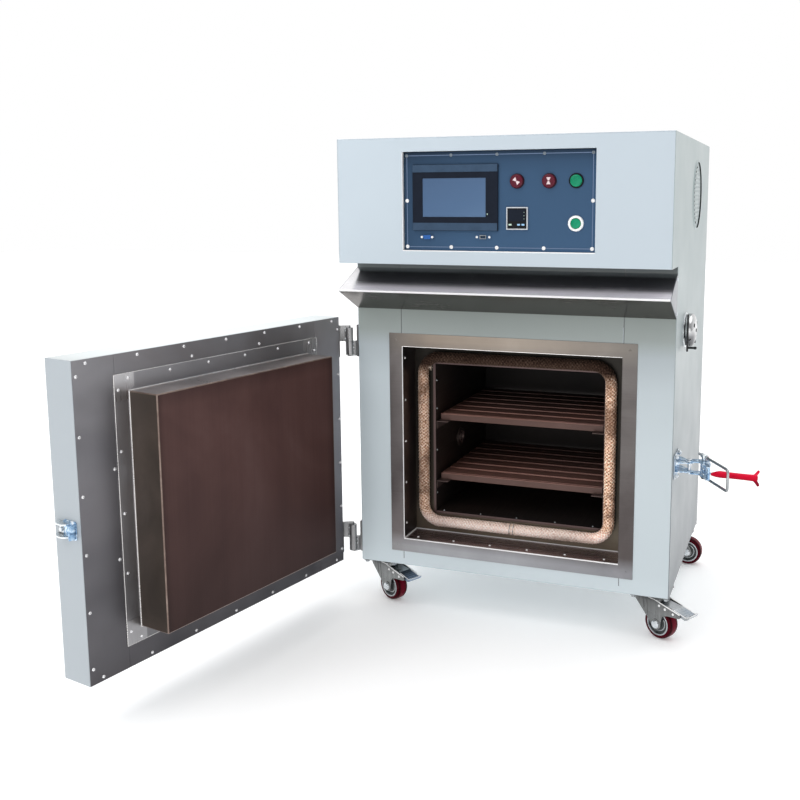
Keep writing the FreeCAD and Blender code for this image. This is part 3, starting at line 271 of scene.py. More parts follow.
def zinc(name, tone=1.0, blue=0.5):
    m = Look(name)
    cloud = m.noise(26.0, 4.0, dist=0.8)
    a = scaled((0.40, 0.42, 0.44), tone)
    b = scaled((0.66, 0.69, 0.71), tone)
    col = m.ramp(cloud, [(0.3, a), (0.7, b)])
    col = m.mix(m.span(m.noise(17.0, 3.0, move=(4, 4, 4)), 0.45, 0.68, 0.0, blue), col, scaled((0.28, 0.46, 0.66), tone))
    m.feed("Base Color", col)
    m.put("Metallic", 1.0)
    m.feed("Roughness", m.span(m.noise(60.0, 3.0), 0.3, 0.7, 0.20, 0.38))
    m.bump(m.noise(420.0, 3.0), 0.08, 0.0003)
    return m.mat


def plastic(name, colour, rough=0.4, grain=900.0, depth=0.06, spread=0.10, coat=0.0, spec=0.5):
    m = Look(name)
    m.feed("Base Color", m.ramp(m.noise(40.0, 4.0), [(0.3, scaled(colour, 1 - spread)), (0.7, scaled(colour, 1 + spread))]))
    m.feed("Roughness", m.span(m.noise(90.0, 3.0), 0.3, 0.7, rough - 0.05, rough + 0.07))
    m.put("Coat Weight", coat)
    m.put("Specular IOR Level", spec)
    m.bump(m.noise(grain, 2.0), depth, 0.0002)
    return m.mat


PAINT = (0.535, 0.610, 0.668)
# Cabinet paint with painted shade: a little darker towards the right side (+X).
M_PAINT = paint("paint_cabinet", PAINT, shade=[(-0.38, 1.0), (0.0, 0.97), (0.38, 0.93)], axis="X")
# Right side paint: a darker copy of the cabinet paint, with painted shade darker towards the bottom.
M_PAINT_SIDE_SHADED = paint("paint_side_painted_shade", (0.432, 0.500, 0.502), shade=[(0.10, (0.38, 0.365, 0.40)), (0.35, (0.53, 0.52, 0.55)), (0.60, (0.74, 0.735, 0.75)), (0.86, (0.83, 0.84, 0.85)), (1.14, 0.91)])
# Lower front paint: painted shade darkening upwards into the shadow under the hood and the strip below the control box,
# and painted light on the left (-X) column.
M_PAINT_LOW = paint("paint_lower_front_painted_shade", (0.575, 0.647, 0.68), shade=[(0.10, 1.04), (0.16, 0.97), (0.45, 0.93), (0.58, 0.85), (0.655, 0.70), (0.695, (0.52, 0.52, 0.48)), (0.745, (0.46, 0.465, 0.42)), (0.80, (0.42, 0.43, 0.40)), (0.835, (0.30, 0.31, 0.295)), (0.86, (0.12, 0.127, 0.125))],
                    shade2=[(-0.38, 1.20), (-0.28, 1.17), (-0.08, 1.0), (0.27, 0.98), (0.38, 0.97)])
# Left side paint: a darker copy of the cabinet paint, with painted shade darker towards the bottom.
M_PAINT_LEFT_SHADED = paint("paint_left_painted_shade", (0.455, 0.520, 0.560), shade=[(0.10, 0.84), (0.40, 0.93), (1.14, 1.0)])
# Door shell paint: a darker copy of the cabinet paint, painted shade.
M_PAINT_DOOR_SHADED = paint("paint_door", (0.385, 0.425, 0.455))
# Door top edge: a lighter copy of the cabinet paint, painted light, fading at the latch end (+X).
M_DOOR_TOP_LIT = paint("paint_door_top_painted_light", (0.56, 0.60, 0.605), shade=[(-0.38, 1.42), (0.20, 1.42), (0.34, 1.15), (0.38, 1.0)], axis="X")
# Control panel paint with painted shadow from the recess: darker along the top edge and the left edge.
M_PANEL = paint("paint_panel", (0.041, 0.091, 0.172), rough=0.46, spec=0.14, shade=[(0.89, 1.06), (0.94, 1.0), (1.055, 0.94), (1.082, 0.78), (1.098, 0.56), (1.1076, 0.28)], shade2=[(-0.2196, 0.34), (-0.2145, 0.58), (-0.205, 0.72), (-0.185, 0.80), (-0.08, 1.0), (0.2176, 1.0)])
M_SEAM = plastic("seam_grey", (0.16, 0.17, 0.175), 0.7)
M_PANEL_LINE = paint("paint_panel_line", (0.13, 0.19, 0.31), rough=0.35)
# Near-black plastic: the front ends of the side louvres and the louvre ring's inner wall use it as painted shadow; it
# also marks three small pads on the vent cap.
M_DARK_AND_SHADOW = plastic("dark_gap_and_painted_shadow", (0.008, 0.008, 0.009), 0.7, spec=0.1)
# Control box underside: painted light and shade, a light band at the front, brighter than the paint, and near-black
# behind it; the polished hood mirrors both.
M_DECK_LIT_AND_SHADED = paint("paint_deck_painted_light_and_shade", (0.90, 0.90, 0.93), shade=[(-0.0962, (1.0, 1.0, 1.0)), (-0.046, (0.92, 0.91, 0.93)), (-0.036, (0.045, 0.048, 0.052)), (0.0, (0.03, 0.032, 0.035))], axis="Y")
# Hood top: polished steel with a painted reflection, darker towards the back (+Y) and lightest at the lip.
M_HOOD = steel("hood_steel", (0.86, 0.85, 0.87), (0.95, 0.94, 0.96), 0.16, "X", scratch=0.04, grain=0.3, shade=[(-0.1016, 1.04), (-0.07, 1.0), (-0.03, 0.88), (0.0, 0.66)], axis="Y")
# Hood underside: a dark brown-grey copy of the hood steel, painted shade.
M_HOOD_LOW_SHADED = steel("hood_underside_painted_shade", (0.080, 0.072, 0.066), (0.125, 0.112, 0.10), 0.20, "X", grain=0.3)
# Hood lip: near-white, a painted highlight along the rolled edge.
M_HOOD_LIP_HIGHLIGHT = steel("hood_lip_painted_highlight", (0.96, 0.96, 0.97), (1.0, 1.0, 1.0), 0.45, "X", metallic=0.0)
# Hood end plates: a dark copy of the hood steel, painted shade.
M_HOOD_END_SHADED = steel("hood_end_painted_shade", (0.16, 0.175, 0.20), (0.22, 0.235, 0.26), 0.30, "Z", metallic=0.4)
# Door opening trim: one brushed steel in three tones, painted light and reflection. Uprights darker, lighter towards
# the top and much lighter on the left (-X); top rail warm, fading to the right; bottom rail lighter, fading to the
# right.
m = Look("trim_steel")
cloud = m.noise(6.0, 4.0, dist=0.7)
streak = m.noise(420.0, 2.0, stretch=(0.012, 1, 1))
both = m.math("ADD", m.math("MULTIPLY", cloud, 0.88), m.math("MULTIPLY", streak, 0.12))
upright = m.times(m.ramp(both, [(0.34, (0.098, 0.090, 0.089)), (0.66, (0.150, 0.142, 0.140))]), m.ramp(m.span(m.axis("Z"), 0.17, 0.66), [(0.0, (0.74, 0.69, 0.69)), (0.55, (0.92, 0.90, 0.90)), (1.0, (1.15, 1.14, 1.12))]))
upright = m.times(upright, m.ramp(m.span(m.axis("X"), -0.298, 0.298), [(0.0, (1.78, 1.78, 1.80)), (0.06, (1.78, 1.78, 1.80)), (0.94, (1.01, 1.0, 0.99)), (1.0, (1.01, 1.0, 0.99))]))
upper = m.times(m.ramp(both, [(0.34, (0.84, 0.83, 0.82)), (0.66, (1.12, 1.12, 1.12))]), m.ramp(m.span(m.axis("X"), -0.298, 0.298), [(0.0, (0.27, 0.25, 0.23)), (0.18, (0.37, 0.315, 0.262)), (0.5, (0.32, 0.275, 0.232)), (1.0, (0.175, 0.162, 0.148))]))
lower = m.times(m.ramp(both, [(0.34, (0.84, 0.84, 0.84)), (0.66, (1.12, 1.12, 1.12))]), m.ramp(m.span(m.axis("X"), -0.298, 0.298), [(0.0, (0.33, 0.32, 0.325)), (0.15, (0.40, 0.405, 0.425)), (0.5, (0.35, 0.355, 0.375)), (1.0, (0.235, 0.235, 0.25))]))
col = m.mix(m.span(m.axis("Z"), 0.628, 0.672, 0.0, 1.0), upright, upper)
col = m.mix(m.span(m.axis("Z"), 0.158, 0.192, 1.0, 0.0), col, lower)
m.feed("Base Color", col)
m.put("Metallic", 1.0)
m.feed("Roughness", m.span(both, 0.3, 0.7, 0.28, 0.40))
m.bump(streak, 0.05, 0.0001)
M_TRIM = m.mat
# Near-white steel: painted highlights on lit edges, strips, rivets and the lower panel screws, and also the port posts
# and the power button's ring.
M_WHITE_AND_HIGHLIGHT = steel("white_steel_and_painted_highlight", (0.86, 0.855, 0.85), (0.97, 0.965, 0.96), 0.35, "X", metallic=0.15)
# Plate behind the gasket: tan, painted light at the bottom and painted shade darkening it upwards.
M_BACKING_SHADED = steel("mouth_backing_painted_shade", (0.15, 0.125, 0.090), (0.26, 0.22, 0.165), 0.40, "X", tint=(0.13, 0.10, 0.075), metallic=0.6, shade=[(0.176, 1.0), (0.215, 0.85), (0.26, 0.30), (0.40, 0.12), (0.66, 0.10)])
# Reveal walls and floor: one steel drawn as a dark, painted-shade copy for the walls and a lighter, painted-light copy
# for the floor.
M_REVEAL = steel("reveal_wall_painted_shade", (0.070, 0.058, 0.060), (0.120, 0.100, 0.102), 0.36, "Y")
M_REVEAL_FLOOR_LIT = steel("reveal_floor_painted_light", (0.20, 0.150, 0.150), (0.32, 0.245, 0.24), 0.26, "X", tint=(0.19, 0.13, 0.125), metallic=0.8)
# Bright steel for painted highlights along edges: trim inner edges and rivets, the plug flange border and the plug's
# edges.
M_GLINT_EDGE = steel("painted_edge_highlight", (0.62, 0.61, 0.60), (0.90, 0.88, 0.86), 0.22, "X", scratch=0.1, metallic=0.6)
M_SCREW = zinc("screw_bright", 1.35, 0.05)
M_DOOR_SCREW = steel("door_screw", (0.62, 0.62, 0.63), (0.92, 0.92, 0.93), 0.22, "X", metallic=0.62, across=600.0)
# Chamber liner: painted shade, darker deeper into the chamber (+Y).
M_LINER = steel("liner_steel", (0.016, 0.0148, 0.0146), (0.036, 0.030, 0.028), 0.42, "Y", tint=(0.040, 0.026, 0.021), metallic=0.6, shade=[(0.08, 1.25), (0.22, 1.05), (0.36, 0.70), (0.47, 0.50)], axis="Y")
# Air baffle: near-black, painted shadow for the unlit back of the chamber.
m = Look("liner_back")
m.feed("Base Color", m.ramp(m.noise(7.0, 4.0, dist=0.6), [(0.3, (0.007, 0.0064, 0.0062)), (0.7, (0.0145, 0.0125, 0.0120))]))
m.put("Roughness", 0.75)
m.put("Specular IOR Level", 0.08)
m.bump(m.noise(300.0, 2.0), 0.05, 0.0002)
M_LINER_BACK_SHADOW = m.mat
M_LIP = steel("liner_lip", (0.085, 0.055, 0.052), (0.15, 0.10, 0.095), 0.38, "X", metallic=0.6)
# Shelf slats: painted shade, darker towards the back (+Y); the front bars are a darker copy, painted shade.
M_SHELF = steel("shelf_steel", (0.26, 0.135, 0.112), (0.42, 0.235, 0.20), 0.45, "X", tint=(0.30, 0.135, 0.10), metallic=0.5, shade=[(0.10, 1.0), (0.20, 0.82), (0.32, 0.48), (0.46, 0.20)], axis="Y")
M_SHELF_BAR_SHADED = steel("shelf_bar", (0.082, 0.045, 0.037), (0.132, 0.077, 0.066), 0.42, "X", tint=(0.11, 0.058, 0.046), metallic=0.5)
M_RAIL = steel("rail_steel", (0.10, 0.07, 0.064), (0.19, 0.135, 0.125), 0.42, "Y", metallic=0.6)
# Door inner sheet: painted light and shade, darker towards the bottom and much lighter towards the hinge side (-X).
M_DOOR_SHEET = steel("door_sheet", (0.18, 0.178, 0.192), (0.30, 0.296, 0.312), 0.42, "Z", tint=(0.21, 0.195, 0.20), shade=[(0.11, (0.19, 0.186, 0.19)), (0.25, (0.30, 0.295, 0.30)), (0.42, (0.38, 0.375, 0.38)), (0.72, 0.52)], grain=0.04, scratch=0.012, wander=0.012,
                     shade2=[(-0.38, 3.5), (-0.30, 3.0), (-0.26, 2.1), (0.0, 1.75), (0.26, 1.75), (0.38, 1.85)])
# Plug flange: painted shade darker towards the bottom, and painted light on the strip at the latch side (+X).
M_DOOR_FLANGE = steel("door_flange", (0.22, 0.218, 0.23), (0.33, 0.325, 0.34), 0.38, "Z", grain=0.04, scratch=0.012, wander=0.012, shade=[(0.15, 0.62), (0.30, 0.78), (0.42, 0.92), (0.68, 0.98)], shade2=[(-0.30, 1.0), (0.24, 1.0), (0.258, 1.5), (0.30, 1.5)])
# Corner tabs: painted highlight, lighter towards the top and the latch side (+X).
M_DOOR_TAB = steel("door_tab_painted_highlight", (0.24, 0.237, 0.246), (0.40, 0.395, 0.405), 0.30, "Z", grain=0.10, shade=[(0.15, 0.75), (0.42, 1.0), (0.69, 1.1)], shade2=[(-0.30, 1.0), (0.30, 1.3)])
M_ZINC = zinc("zinc_plate", 0.95, 0.40)
M_ZINC_BLUE = zinc("zinc_blue", 0.95, 0.95)
M_ZINC_GREY = zinc("zinc_grey", 0.80, 0.08)
M_ROD = zinc("steel_rod", 0.62, 0.0)
M_HINGE = steel("hinge_steel", (0.19, 0.19, 0.192), (0.42, 0.42, 0.424), 0.28, "Z")
M_CHROME = zinc("chrome", 1.45, 0.0)
m = Look("grip_red")
# Painted shade on the grip's lower side and a painted highlight band near its top.
tone = m.ramp(m.span(m.axis("Z"), 0.392, 0.427), [(0.0, (0.20, 0.002, 0.014)), (0.28, (0.24, 0.003, 0.018)), (0.40, (0.50, 0.002, 0.022)), (0.60, (0.66, 0.003, 0.030)), (0.72, (0.82, 0.030, 0.075)), (1.0, (0.62, 0.004, 0.032))])
m.feed("Base Color", m.mix(m.span(m.noise(60.0, 3.0), 0.45, 0.75, 0.0, 0.25), tone, (0.40, 0.004, 0.026)))
m.feed("Roughness", m.span(m.noise(90.0, 3.0), 0.3, 0.7, 0.26, 0.40))
m.put("Specular IOR Level", 0.07)
m.bump(m.noise(500.0, 2.0), 0.10, 0.0002)
M_RED = m.mat
M_NAVY = plastic("bezel_navy", (0.008, 0.012, 0.022), 0.42, spec=0.10)
M_BAND = plastic("bezel_band", (0.040, 0.072, 0.122), 0.5, spec=0.12)
M_BLACK = plastic("black_plastic", (0.008, 0.009, 0.011), 0.40, spec=0.12)
M_SILVER = plastic("silver_rim", (0.56, 0.58, 0.61), 0.34)
# Top row of panel screws: a darker copy, painted shade from the recess.
M_SCREW_SHADED = plastic("screw_painted_shade", (0.20, 0.235, 0.27), 0.34, spec=0.3)
# Sounder side walls: a darker copy of the maroon, painted shade.
M_MAROON_SHADED = plastic("sounder_wall_painted_shade", (0.022, 0.002, 0.006), 0.34, spec=0.2)
M_MAROON = plastic("sounder_maroon", (0.090, 0.004, 0.016), 0.24, coat=0.05, spec=0.22)
M_PALE = plastic("mark_pale", (0.74, 0.60, 0.62), 0.45)
M_GREEN = plastic("lens_green", (0.004, 0.255, 0.125), 0.24, 300.0, 0.10, 0.22, coat=0.05, spec=0.16)
M_KEY_PALE = plastic("key_pale", (0.55, 0.72, 0.60), 0.35)
M_KEY_BLUE = plastic("key_blue", (0.33, 0.58, 0.85), 0.35)
M_BLUE = plastic("socket_blue", (0.03, 0.13, 0.42), 0.40, spec=0.2)
# Caster forks: painted shadow darkening the top, under the cabinet.
M_FORK = steel("fork_zinc_painted_shadow", (0.17, 0.175, 0.175), (0.33, 0.335, 0.335), 0.26, "Z", across=70.0, grain=0.55, shade=[(0.02, 1.0), (0.066, 0.92), (0.086, 0.70), (0.094, 0.36), (0.100, 0.14)])
# Caster plates: dark zinc, painted shadow of the gap under the cabinet.
M_PLATE_SHADOW = zinc("plate_painted_shadow", 0.22, 0.10)
M_PEDAL = zinc("pedal_zinc", 0.86, 0.25)
# Brighter copy of the zinc for painted highlights: strike ears, handle ridges, the upper bail cap and some weld beads.
M_ZINC_GLINT = zinc("zinc_painted_highlight", 1.45, 0.05)
# Front-left pedal tread: a darker copy of the pedal zinc, painted shade at the root rising to a painted highlight at
# the tip.
M_PEDAL_PAINTED_LIGHT = steel("pedal_painted_shade_and_highlight", (0.10, 0.135, 0.20), (0.34, 0.41, 0.52), 0.20, "X", across=60.0, grain=0.3, shade=[(0.064, 0.10), (0.080, 0.22), (0.094, 0.75), (0.106, 1.3), (0.115, 1.7)], axis="X")
M_FIBRE = plastic("rope_fibre", (0.74, 0.60, 0.48), 0.9, 500.0, 0.2, 0.25)
M_LEVER = plastic("lever_dark", (0.020, 0.022, 0.023), 0.30, 500.0, 0.08, 0.2, spec=0.25)
# Vent cap: painted shade on its lower part rising to a painted highlight at the top.
M_VENT = steel("vent_steel_painted_light", (0.55, 0.555, 0.56), (0.80, 0.805, 0.81), 0.16, "Z", metallic=1.0, grain=0.3, shade=[(0.664, (0.16, 0.16, 0.165)), (0.690, (0.34, 0.34, 0.35)), (0.706, (0.95, 0.95, 0.95)), (0.74, (1.0, 1.0, 1.0))])
M_TYRE_DARK = plastic("tyre_edge", (0.030, 0.006, 0.010), 0.45, 700.0, 0.10, 0.2)
M_HUB = zinc("hub_ring", 0.95, 0.0)
M_HUB_DARK = plastic("hub_dark", (0.05, 0.055, 0.055), 0.4)
M_WOOL = plastic("wool_board", (0.62, 0.58, 0.46), 0.9, 240.0, 0.8, 0.2)
M_MOTOR = paint("motor_paint", (0.07, 0.075, 0.085))
M_ALU = steel("plain_aluminium", (0.42, 0.42, 0.43), (0.62, 0.62, 0.63), 0.35, "X")
M_GLAND = plastic("gland_black", (0.02, 0.02, 0.021), 0.5)

m = Look("plug_steel")
cloud = m.noise(2.6, 4.0, dist=1.2)
streak = m.noise(260.0, 2.0, stretch=(1, 1, 0.012))
wide = m.noise(14.0, 2.0, stretch=(1, 1, 0.08))
both = m.math("ADD", m.math("MULTIPLY", streak, 0.10), m.math("ADD", m.math("MULTIPLY", cloud, 0.60), m.math("MULTIPLY", wide, 0.30)))
col = m.ramp(both, [(0.30, (0.052, 0.027, 0.025)), (0.5, (0.082, 0.045, 0.041)), (0.72, (0.108, 0.066, 0.062))])
# Painted light and shade: darker towards the bottom, lighter towards the hinge side (-X), falling off at both side
# edges.
col = m.times(col, m.ramp(m.span(m.axis("Z"), 0.183, 0.65), [(0.0, (0.40, 0.38, 0.38)), (0.28, (0.60, 0.58, 0.58)), (0.55, (0.86, 0.86, 0.86)), (0.93, (1.0, 1.0, 1.0)), (1.0, (0.66, 0.66, 0.66))]))
col = m.times(col, m.ramp(m.span(m.axis("X"), -0.2575, 0.2575), [(0.0, (0.80, 0.74, 0.74)), (0.05, (1.36, 1.28, 1.28)), (0.35, (1.22, 1.14, 1.14)), (0.75, (1.12, 1.04, 1.04)), (0.97, (1.02, 0.95, 0.95)), (1.0, (0.70, 0.65, 0.65))]))
m.feed("Base Color", col)
m.put("Metallic", 0.45)
m.put("Specular IOR Level", 0.22)
m.feed("Roughness", m.span(m.noise(9.0, 4.0), 0.3, 0.7, 0.34, 0.46))
m.bump(streak, 0.08, 0.0001)
M_PLUG = m.mat

# Plug bevels: lighter than the face, partly wear and partly a painted highlight on the rounded edge.
m = Look("plug_edge_wear_and_highlight")
wear_and_glint = m.noise(42.0, 5.0, dist=0.5)
m.feed("Base Color", m.ramp(wear_and_glint, [(0.25, (0.11, 0.070, 0.058)), (0.55, (0.21, 0.155, 0.13)), (0.8, (0.34, 0.27, 0.235))]))
m.put("Metallic", 0.6)
m.feed("Roughness", m.span(wear_and_glint, 0.3, 0.7, 0.28, 0.48))
m.bump(wear_and_glint, 0.2, 0.0003)
M_PLUG_EDGE = m.mat

# Plug side and bottom faces: a dark copy of the plug steel, painted shade.
m = Look("plug_side_painted_shade")
cloud = m.noise(5.0, 4.0, dist=0.9)
m.feed("Base Color", m.ramp(cloud, [(0.25, (0.045, 0.034, 0.027)), (0.6, (0.082, 0.062, 0.050)), (0.85, (0.12, 0.095, 0.078))]))
m.put("Metallic", 0.5)
m.feed("Roughness", m.span(m.noise(14.0, 4.0), 0.3, 0.7, 0.28, 0.44))
m.bump(m.noise(300.0, 2.0, stretch=(1, 1, 0.02)), 0.08, 0.0001)
M_PLUG_SIDE_SHADED = m.mat

# Plug top face: a lighter copy of the plug steel, painted light.
m = Look("plug_top_painted_light")
cloud = m.noise(6.0, 4.0, dist=0.9)
m.feed("Base Color", m.ramp(cloud, [(0.25, (0.29, 0.255, 0.25)), (0.6, (0.43, 0.39, 0.385)), (0.85, (0.58, 0.535, 0.525))]))
m.put("Metallic", 0.9)
m.feed("Roughness", m.span(m.noise(14.0, 4.0), 0.3, 0.7, 0.26, 0.42))
m.bump(m.noise(300.0, 2.0, stretch=(0.02, 1, 1)), 0.08, 0.0001)
M_PLUG_TOP_LIT = m.mat

# Rope: knit colour from noise and the mesh's pointiness, with a paler bottom limb, painted light on the right limb and
# a darker top limb.
m = Look("rope_weave")
speck = m.noise(250.0, 3.0, rough=0.62, dist=0.25)
grain = m.noise(720.0, 3.0)
blotch = m.noise(13.0, 4.0, dist=0.9)
ridge = m.span(m.nt.nodes.new("ShaderNodeNewGeometry").outputs["Pointiness"], 0.42, 0.58, 0.25, 0.75)
yarn = m.math("ADD", m.math("MULTIPLY", ridge, 0.34), m.math("ADD", m.math("MULTIPLY", speck, 0.42), m.math("MULTIPLY", grain, 0.24)))
tan = m.ramp(yarn, [(0.40, (0.085, 0.038, 0.021)), (0.47, (0.40, 0.220, 0.132)), (0.53, (0.82, 0.545, 0.380)), (0.60, (1.0, 0.90, 0.78))])
burnt = m.ramp(yarn, [(0.36, (0.040, 0.019, 0.012)), (0.50, (0.17, 0.092, 0.058)), (0.66, (0.44, 0.30, 0.21))])
pale = m.ramp(yarn, [(0.34, (0.70, 0.42, 0.34)), (0.46, (0.99, 0.76, 0.67)), (0.60, (1.0, 0.95, 0.91))])
top_limb_dark = m.ramp(yarn, [(0.38, (0.007, 0.0035, 0.0026)), (0.50, (0.022, 0.011, 0.008)), (0.62, (0.075, 0.042, 0.028))])
# paler, pinker bottom limb: partly the rope's own colour and partly a painted highlight
col = m.mix(m.span(m.axis("Z"), 0.206, 0.236, 0.94, 0.0), tan, pale)
under = m.math("MULTIPLY", m.span(m.noise(11.0, 3.0, stretch=(0.5, 1, 1), move=(1, 3, 5)), 0.42, 0.60, 0.0, 0.85), m.span(m.axis("Z"), 0.198, 0.2135, 1.0, 0.0))
col = m.mix(under, col, burnt)
burn = m.math("ADD", blotch, m.span(m.axis("Z"), 0.26, 0.60, -0.03, 0.10))
col = m.mix(m.span(burn, 0.51, 0.66, 0.0, 0.80), col, burnt)
# painted light: right (+X) limb lighter, left limb darker
col = m.times(col, m.ramp(m.span(m.axis("X"), -0.25, 0.25), [(0.0, (0.84, 0.82, 0.83)), (0.10, (0.84, 0.82, 0.83)), (0.25, (1.0, 1.0, 1.0)), (0.80, (1.0, 1.0, 1.0)), (0.90, (1.42, 1.37, 1.36)), (1.0, (1.42, 1.37, 1.36))]))
# darker top limb
m.feed("Base Color", m.mix(m.span(m.axis("Z"), 0.566, 0.606, 0.0, 0.97), col, top_limb_dark))
m.put("Roughness", 0.9)
m.put("Specular IOR Level", 0.08)
m.put("Sheen Weight", 0.14)
m.put("Sheen Tint", (0.95, 0.72, 0.55, 1))
m.put("Sheen Roughness", 0.5)
m.bump(yarn, 0.9, 0.0014)
M_ROPE = m.mat

m = Look("latch_zinc")
cloud = m.noise(75.0, 4.0, dist=0.9)
col = m.ramp(cloud, [(0.30, (0.045, 0.085, 0.16)), (0.43, (0.20, 0.34, 0.52)), (0.54, (0.44, 0.60, 0.77)), (0.66, (0.86, 0.91, 0.95))])
m.feed("Base Color", col)
m.put("Metallic", 0.75)
m.feed("Roughness", m.span(m.noise(60.0, 3.0), 0.3, 0.7, 0.16, 0.32))
m.bump(m.noise(300.0, 3.0), 0.12, 0.0004)
M_LATCH = m.mat

m = Look("tyre_rubber_painted_light")
# Tyre: a painted lit band across the middle of the tread and painted shade towards its sides.
side = m.math("ABSOLUTE", m.axis("Z"), 0.0)
tone = m.ramp(m.span(side, 0.0, 0.016), [(0.0, (0.155, 0.002, 0.015)), (0.40, (0.115, 0.0015, 0.010)), (0.66, (0.014, 0.001, 0.002)), (0.84, (0.040, 0.001, 0.004)), (1.0, (0.066, 0.0015, 0.007))])
m.feed("Base Color", m.mix(m.span(m.noise(160.0, 3.0), 0.45, 0.75, 0.0, 0.35), tone, (0.05, 0.002, 0.006)))
m.feed("Roughness", m.span(m.noise(90.0, 3.0), 0.3, 0.7, 0.22, 0.34))
m.put("Specular IOR Level", 0.05)
m.bump(m.noise(700.0, 2.0), 0.08, 0.0002)
M_TYRE = m.mat

m = Look("screen_glass_painted_reflection")
# Screen: a painted reflection, a diagonal sweep lighter towards the bottom right.
reflection_sweep = m.math("ADD", m.math("MULTIPLY", m.axis("Z"), -3.5), m.math("MULTIPLY", m.axis("X"), 1.2))
m.feed("Base Color", m.ramp(m.span(reflection_sweep, -4.0, -3.25), [(0.0, (0.034, 0.083, 0.177)), (0.6, (0.048, 0.114, 0.23)), (1.0, (0.078, 0.158, 0.29))]))
m.feed("Roughness", m.span(m.noise(60.0, 3.0), 0.3, 0.7, 0.34, 0.44))
m.put("Coat Weight", 0.12)
m.put("Coat Roughness", 0.35)
m.bump(m.noise(1500.0, 1.0), 0.01, 0.0001)
M_SCREEN = m.mat

m = Look("floor_pale")
m.feed("Base Color", m.ramp(m.noise(2.0, 3.0), [(0.3, (0.93, 0.93, 0.93)), (0.7, (0.96, 0.96, 0.96))]))
m.put("Roughness", 0.7)
m.put("Emission Color", (1, 1, 1, 1))
m.put("Emission Strength", 0.18)
M_FLOOR = m.mat


# ------------------------------------------------------------------ mesh helpers, in millimetres
def bevel_sharp(bm, width, seg=2, angle=25.0):
    if width <= 0:
        return bm
    bmesh.ops.recalc_face_normals(bm, faces=bm.faces)
    bm.normal_update()
    edges = [e for e in bm.edges if e.is_manifold and e.calc_face_angle(0.0) > rad(angle)]
    bmesh.ops.bevel(bm, geom=edges, offset=width, offset_type="OFFSET", segments=seg, profile=0.5, affect="EDGES", clamp_overlap=True)
    return bm


def pbox(x0, x1, y0, y1, z0, z1, bev=0.5, seg=2):
    bm = bmesh.new()
    v = [bm.verts.new((x, y, z)) for x in (x0, x1) for y in (y0, y1) for z in (z0, z1)]
    for f in ((0, 1, 3, 2), (4, 6, 7, 5), (0, 4, 5, 1), (2, 3, 7, 6), (0, 2, 6, 4), (1, 5, 7, 3)):
        bm.faces.new([v[i] for i in f])
    return bevel_sharp(bm, bev, seg)


def prism(pts, plane, a0, a1, bev=0.4, seg=2, angle=25.0):
    bm = bmesh.new()
    lay = {"XY": lambda u, v, a: (u, v, a), "XZ": lambda u, v, a: (u, a, v), "YZ": lambda u, v, a: (a, u, v)}[plane]
    low = [bm.verts.new(lay(u, v, a0)) for u, v in pts]
    top = [bm.verts.new(lay(u, v, a1)) for u, v in pts]
    bm.faces.new(low[::-1])
    bm.faces.new(top)
    n = len(pts)
    for i in range(n):
        j = (i + 1) % n
        bm.faces.new((low[i], low[j], top[j], top[i]))
    return bevel_sharp(bm, bev, seg, angle)


def ring_plate(outer, inner, y0, y1, bev=0.5, seg=2):
    """A rectangular frame in the XZ plane; outer and inner are (x0, x1, z0, z1)."""
    bm = bmesh.new()

    def loop(b, y):
        return [bm.verts.new(p) for p in ((b[0], y, b[2]), (b[1], y, b[2]), (b[1], y, b[3]), (b[0], y, b[3]))]

    o0, i0, o1, i1 = loop(outer, y0), loop(inner, y0), loop(outer, y1), loop(inner, y1)
    for k in range(4):
        j = (k + 1) % 4
        bm.faces.new((o0[k], o0[j], i0[j], i0[k]))
        bm.faces.new((o1[j], o1[k], i1[k], i1[j]))
        bm.faces.new((o0[j], o0[k], o1[k], o1[j]))
        bm.faces.new((i0[k], i0[j], i1[j], i1[k]))
    return bevel_sharp(bm, bev, seg)


def lathe(profile, segs=40, loop=False, wave=None):
    """Turned about Z; profile is (radius, height) pairs. wave(i, angle) scales the radius of ring i."""
    bm = bmesh.new()
    rings = []
    for i, (r, h) in enumerate(profile):
        if r < 1e-6:
            rings.append([bm.verts.new((0, 0, h))])
        else:
            ring = []
            for k in range(segs):
                a = 2 * pi * k / segs
                q = r * (wave(i, a) if wave else 1.0)
                ring.append(bm.verts.new((q * cos(a), q * sin(a), h)))
            rings.append(ring)
    pairs = list(zip(rings, rings[1:])) + ([(rings[-1], rings[0])] if loop else [])
    for a, b in pairs:
        for k in range(segs):
            j = (k + 1) % segs
            if len(a) == 1 and len(b) == 1:
                break
            if len(a) == 1:
                bm.faces.new((a[0], b[k], b[j]))
            elif len(b) == 1:
                bm.faces.new((a[k], a[j], b[0]))
            else:
                bm.faces.new((a[k], a[j], b[j], b[k]))
    return bm


def rounded(points, r, n=6):
    """The points with each inner corner replaced by an arc of about radius r."""
    pts = [Vector(p) for p in points]
    out = [pts[0]]
    for a, b, c in zip(pts, pts[1:], pts[2:]):
        u, w = (a - b), (c - b)
        ang = u.angle(w)
        if ang > pi - 0.02:
            out.append(b)
            continue
        t = min(r / math.tan(ang / 2), u.length * 0.49, w.length * 0.49)
        p, q = b + u.normalized() * t, b + w.normalized() * t
        for k in range(n + 1):
            s = k / n
            out.append((1 - s) ** 2 * p + 2 * s * (1 - s) * b + s * s * q)
    out.append(pts[-1])
    return out


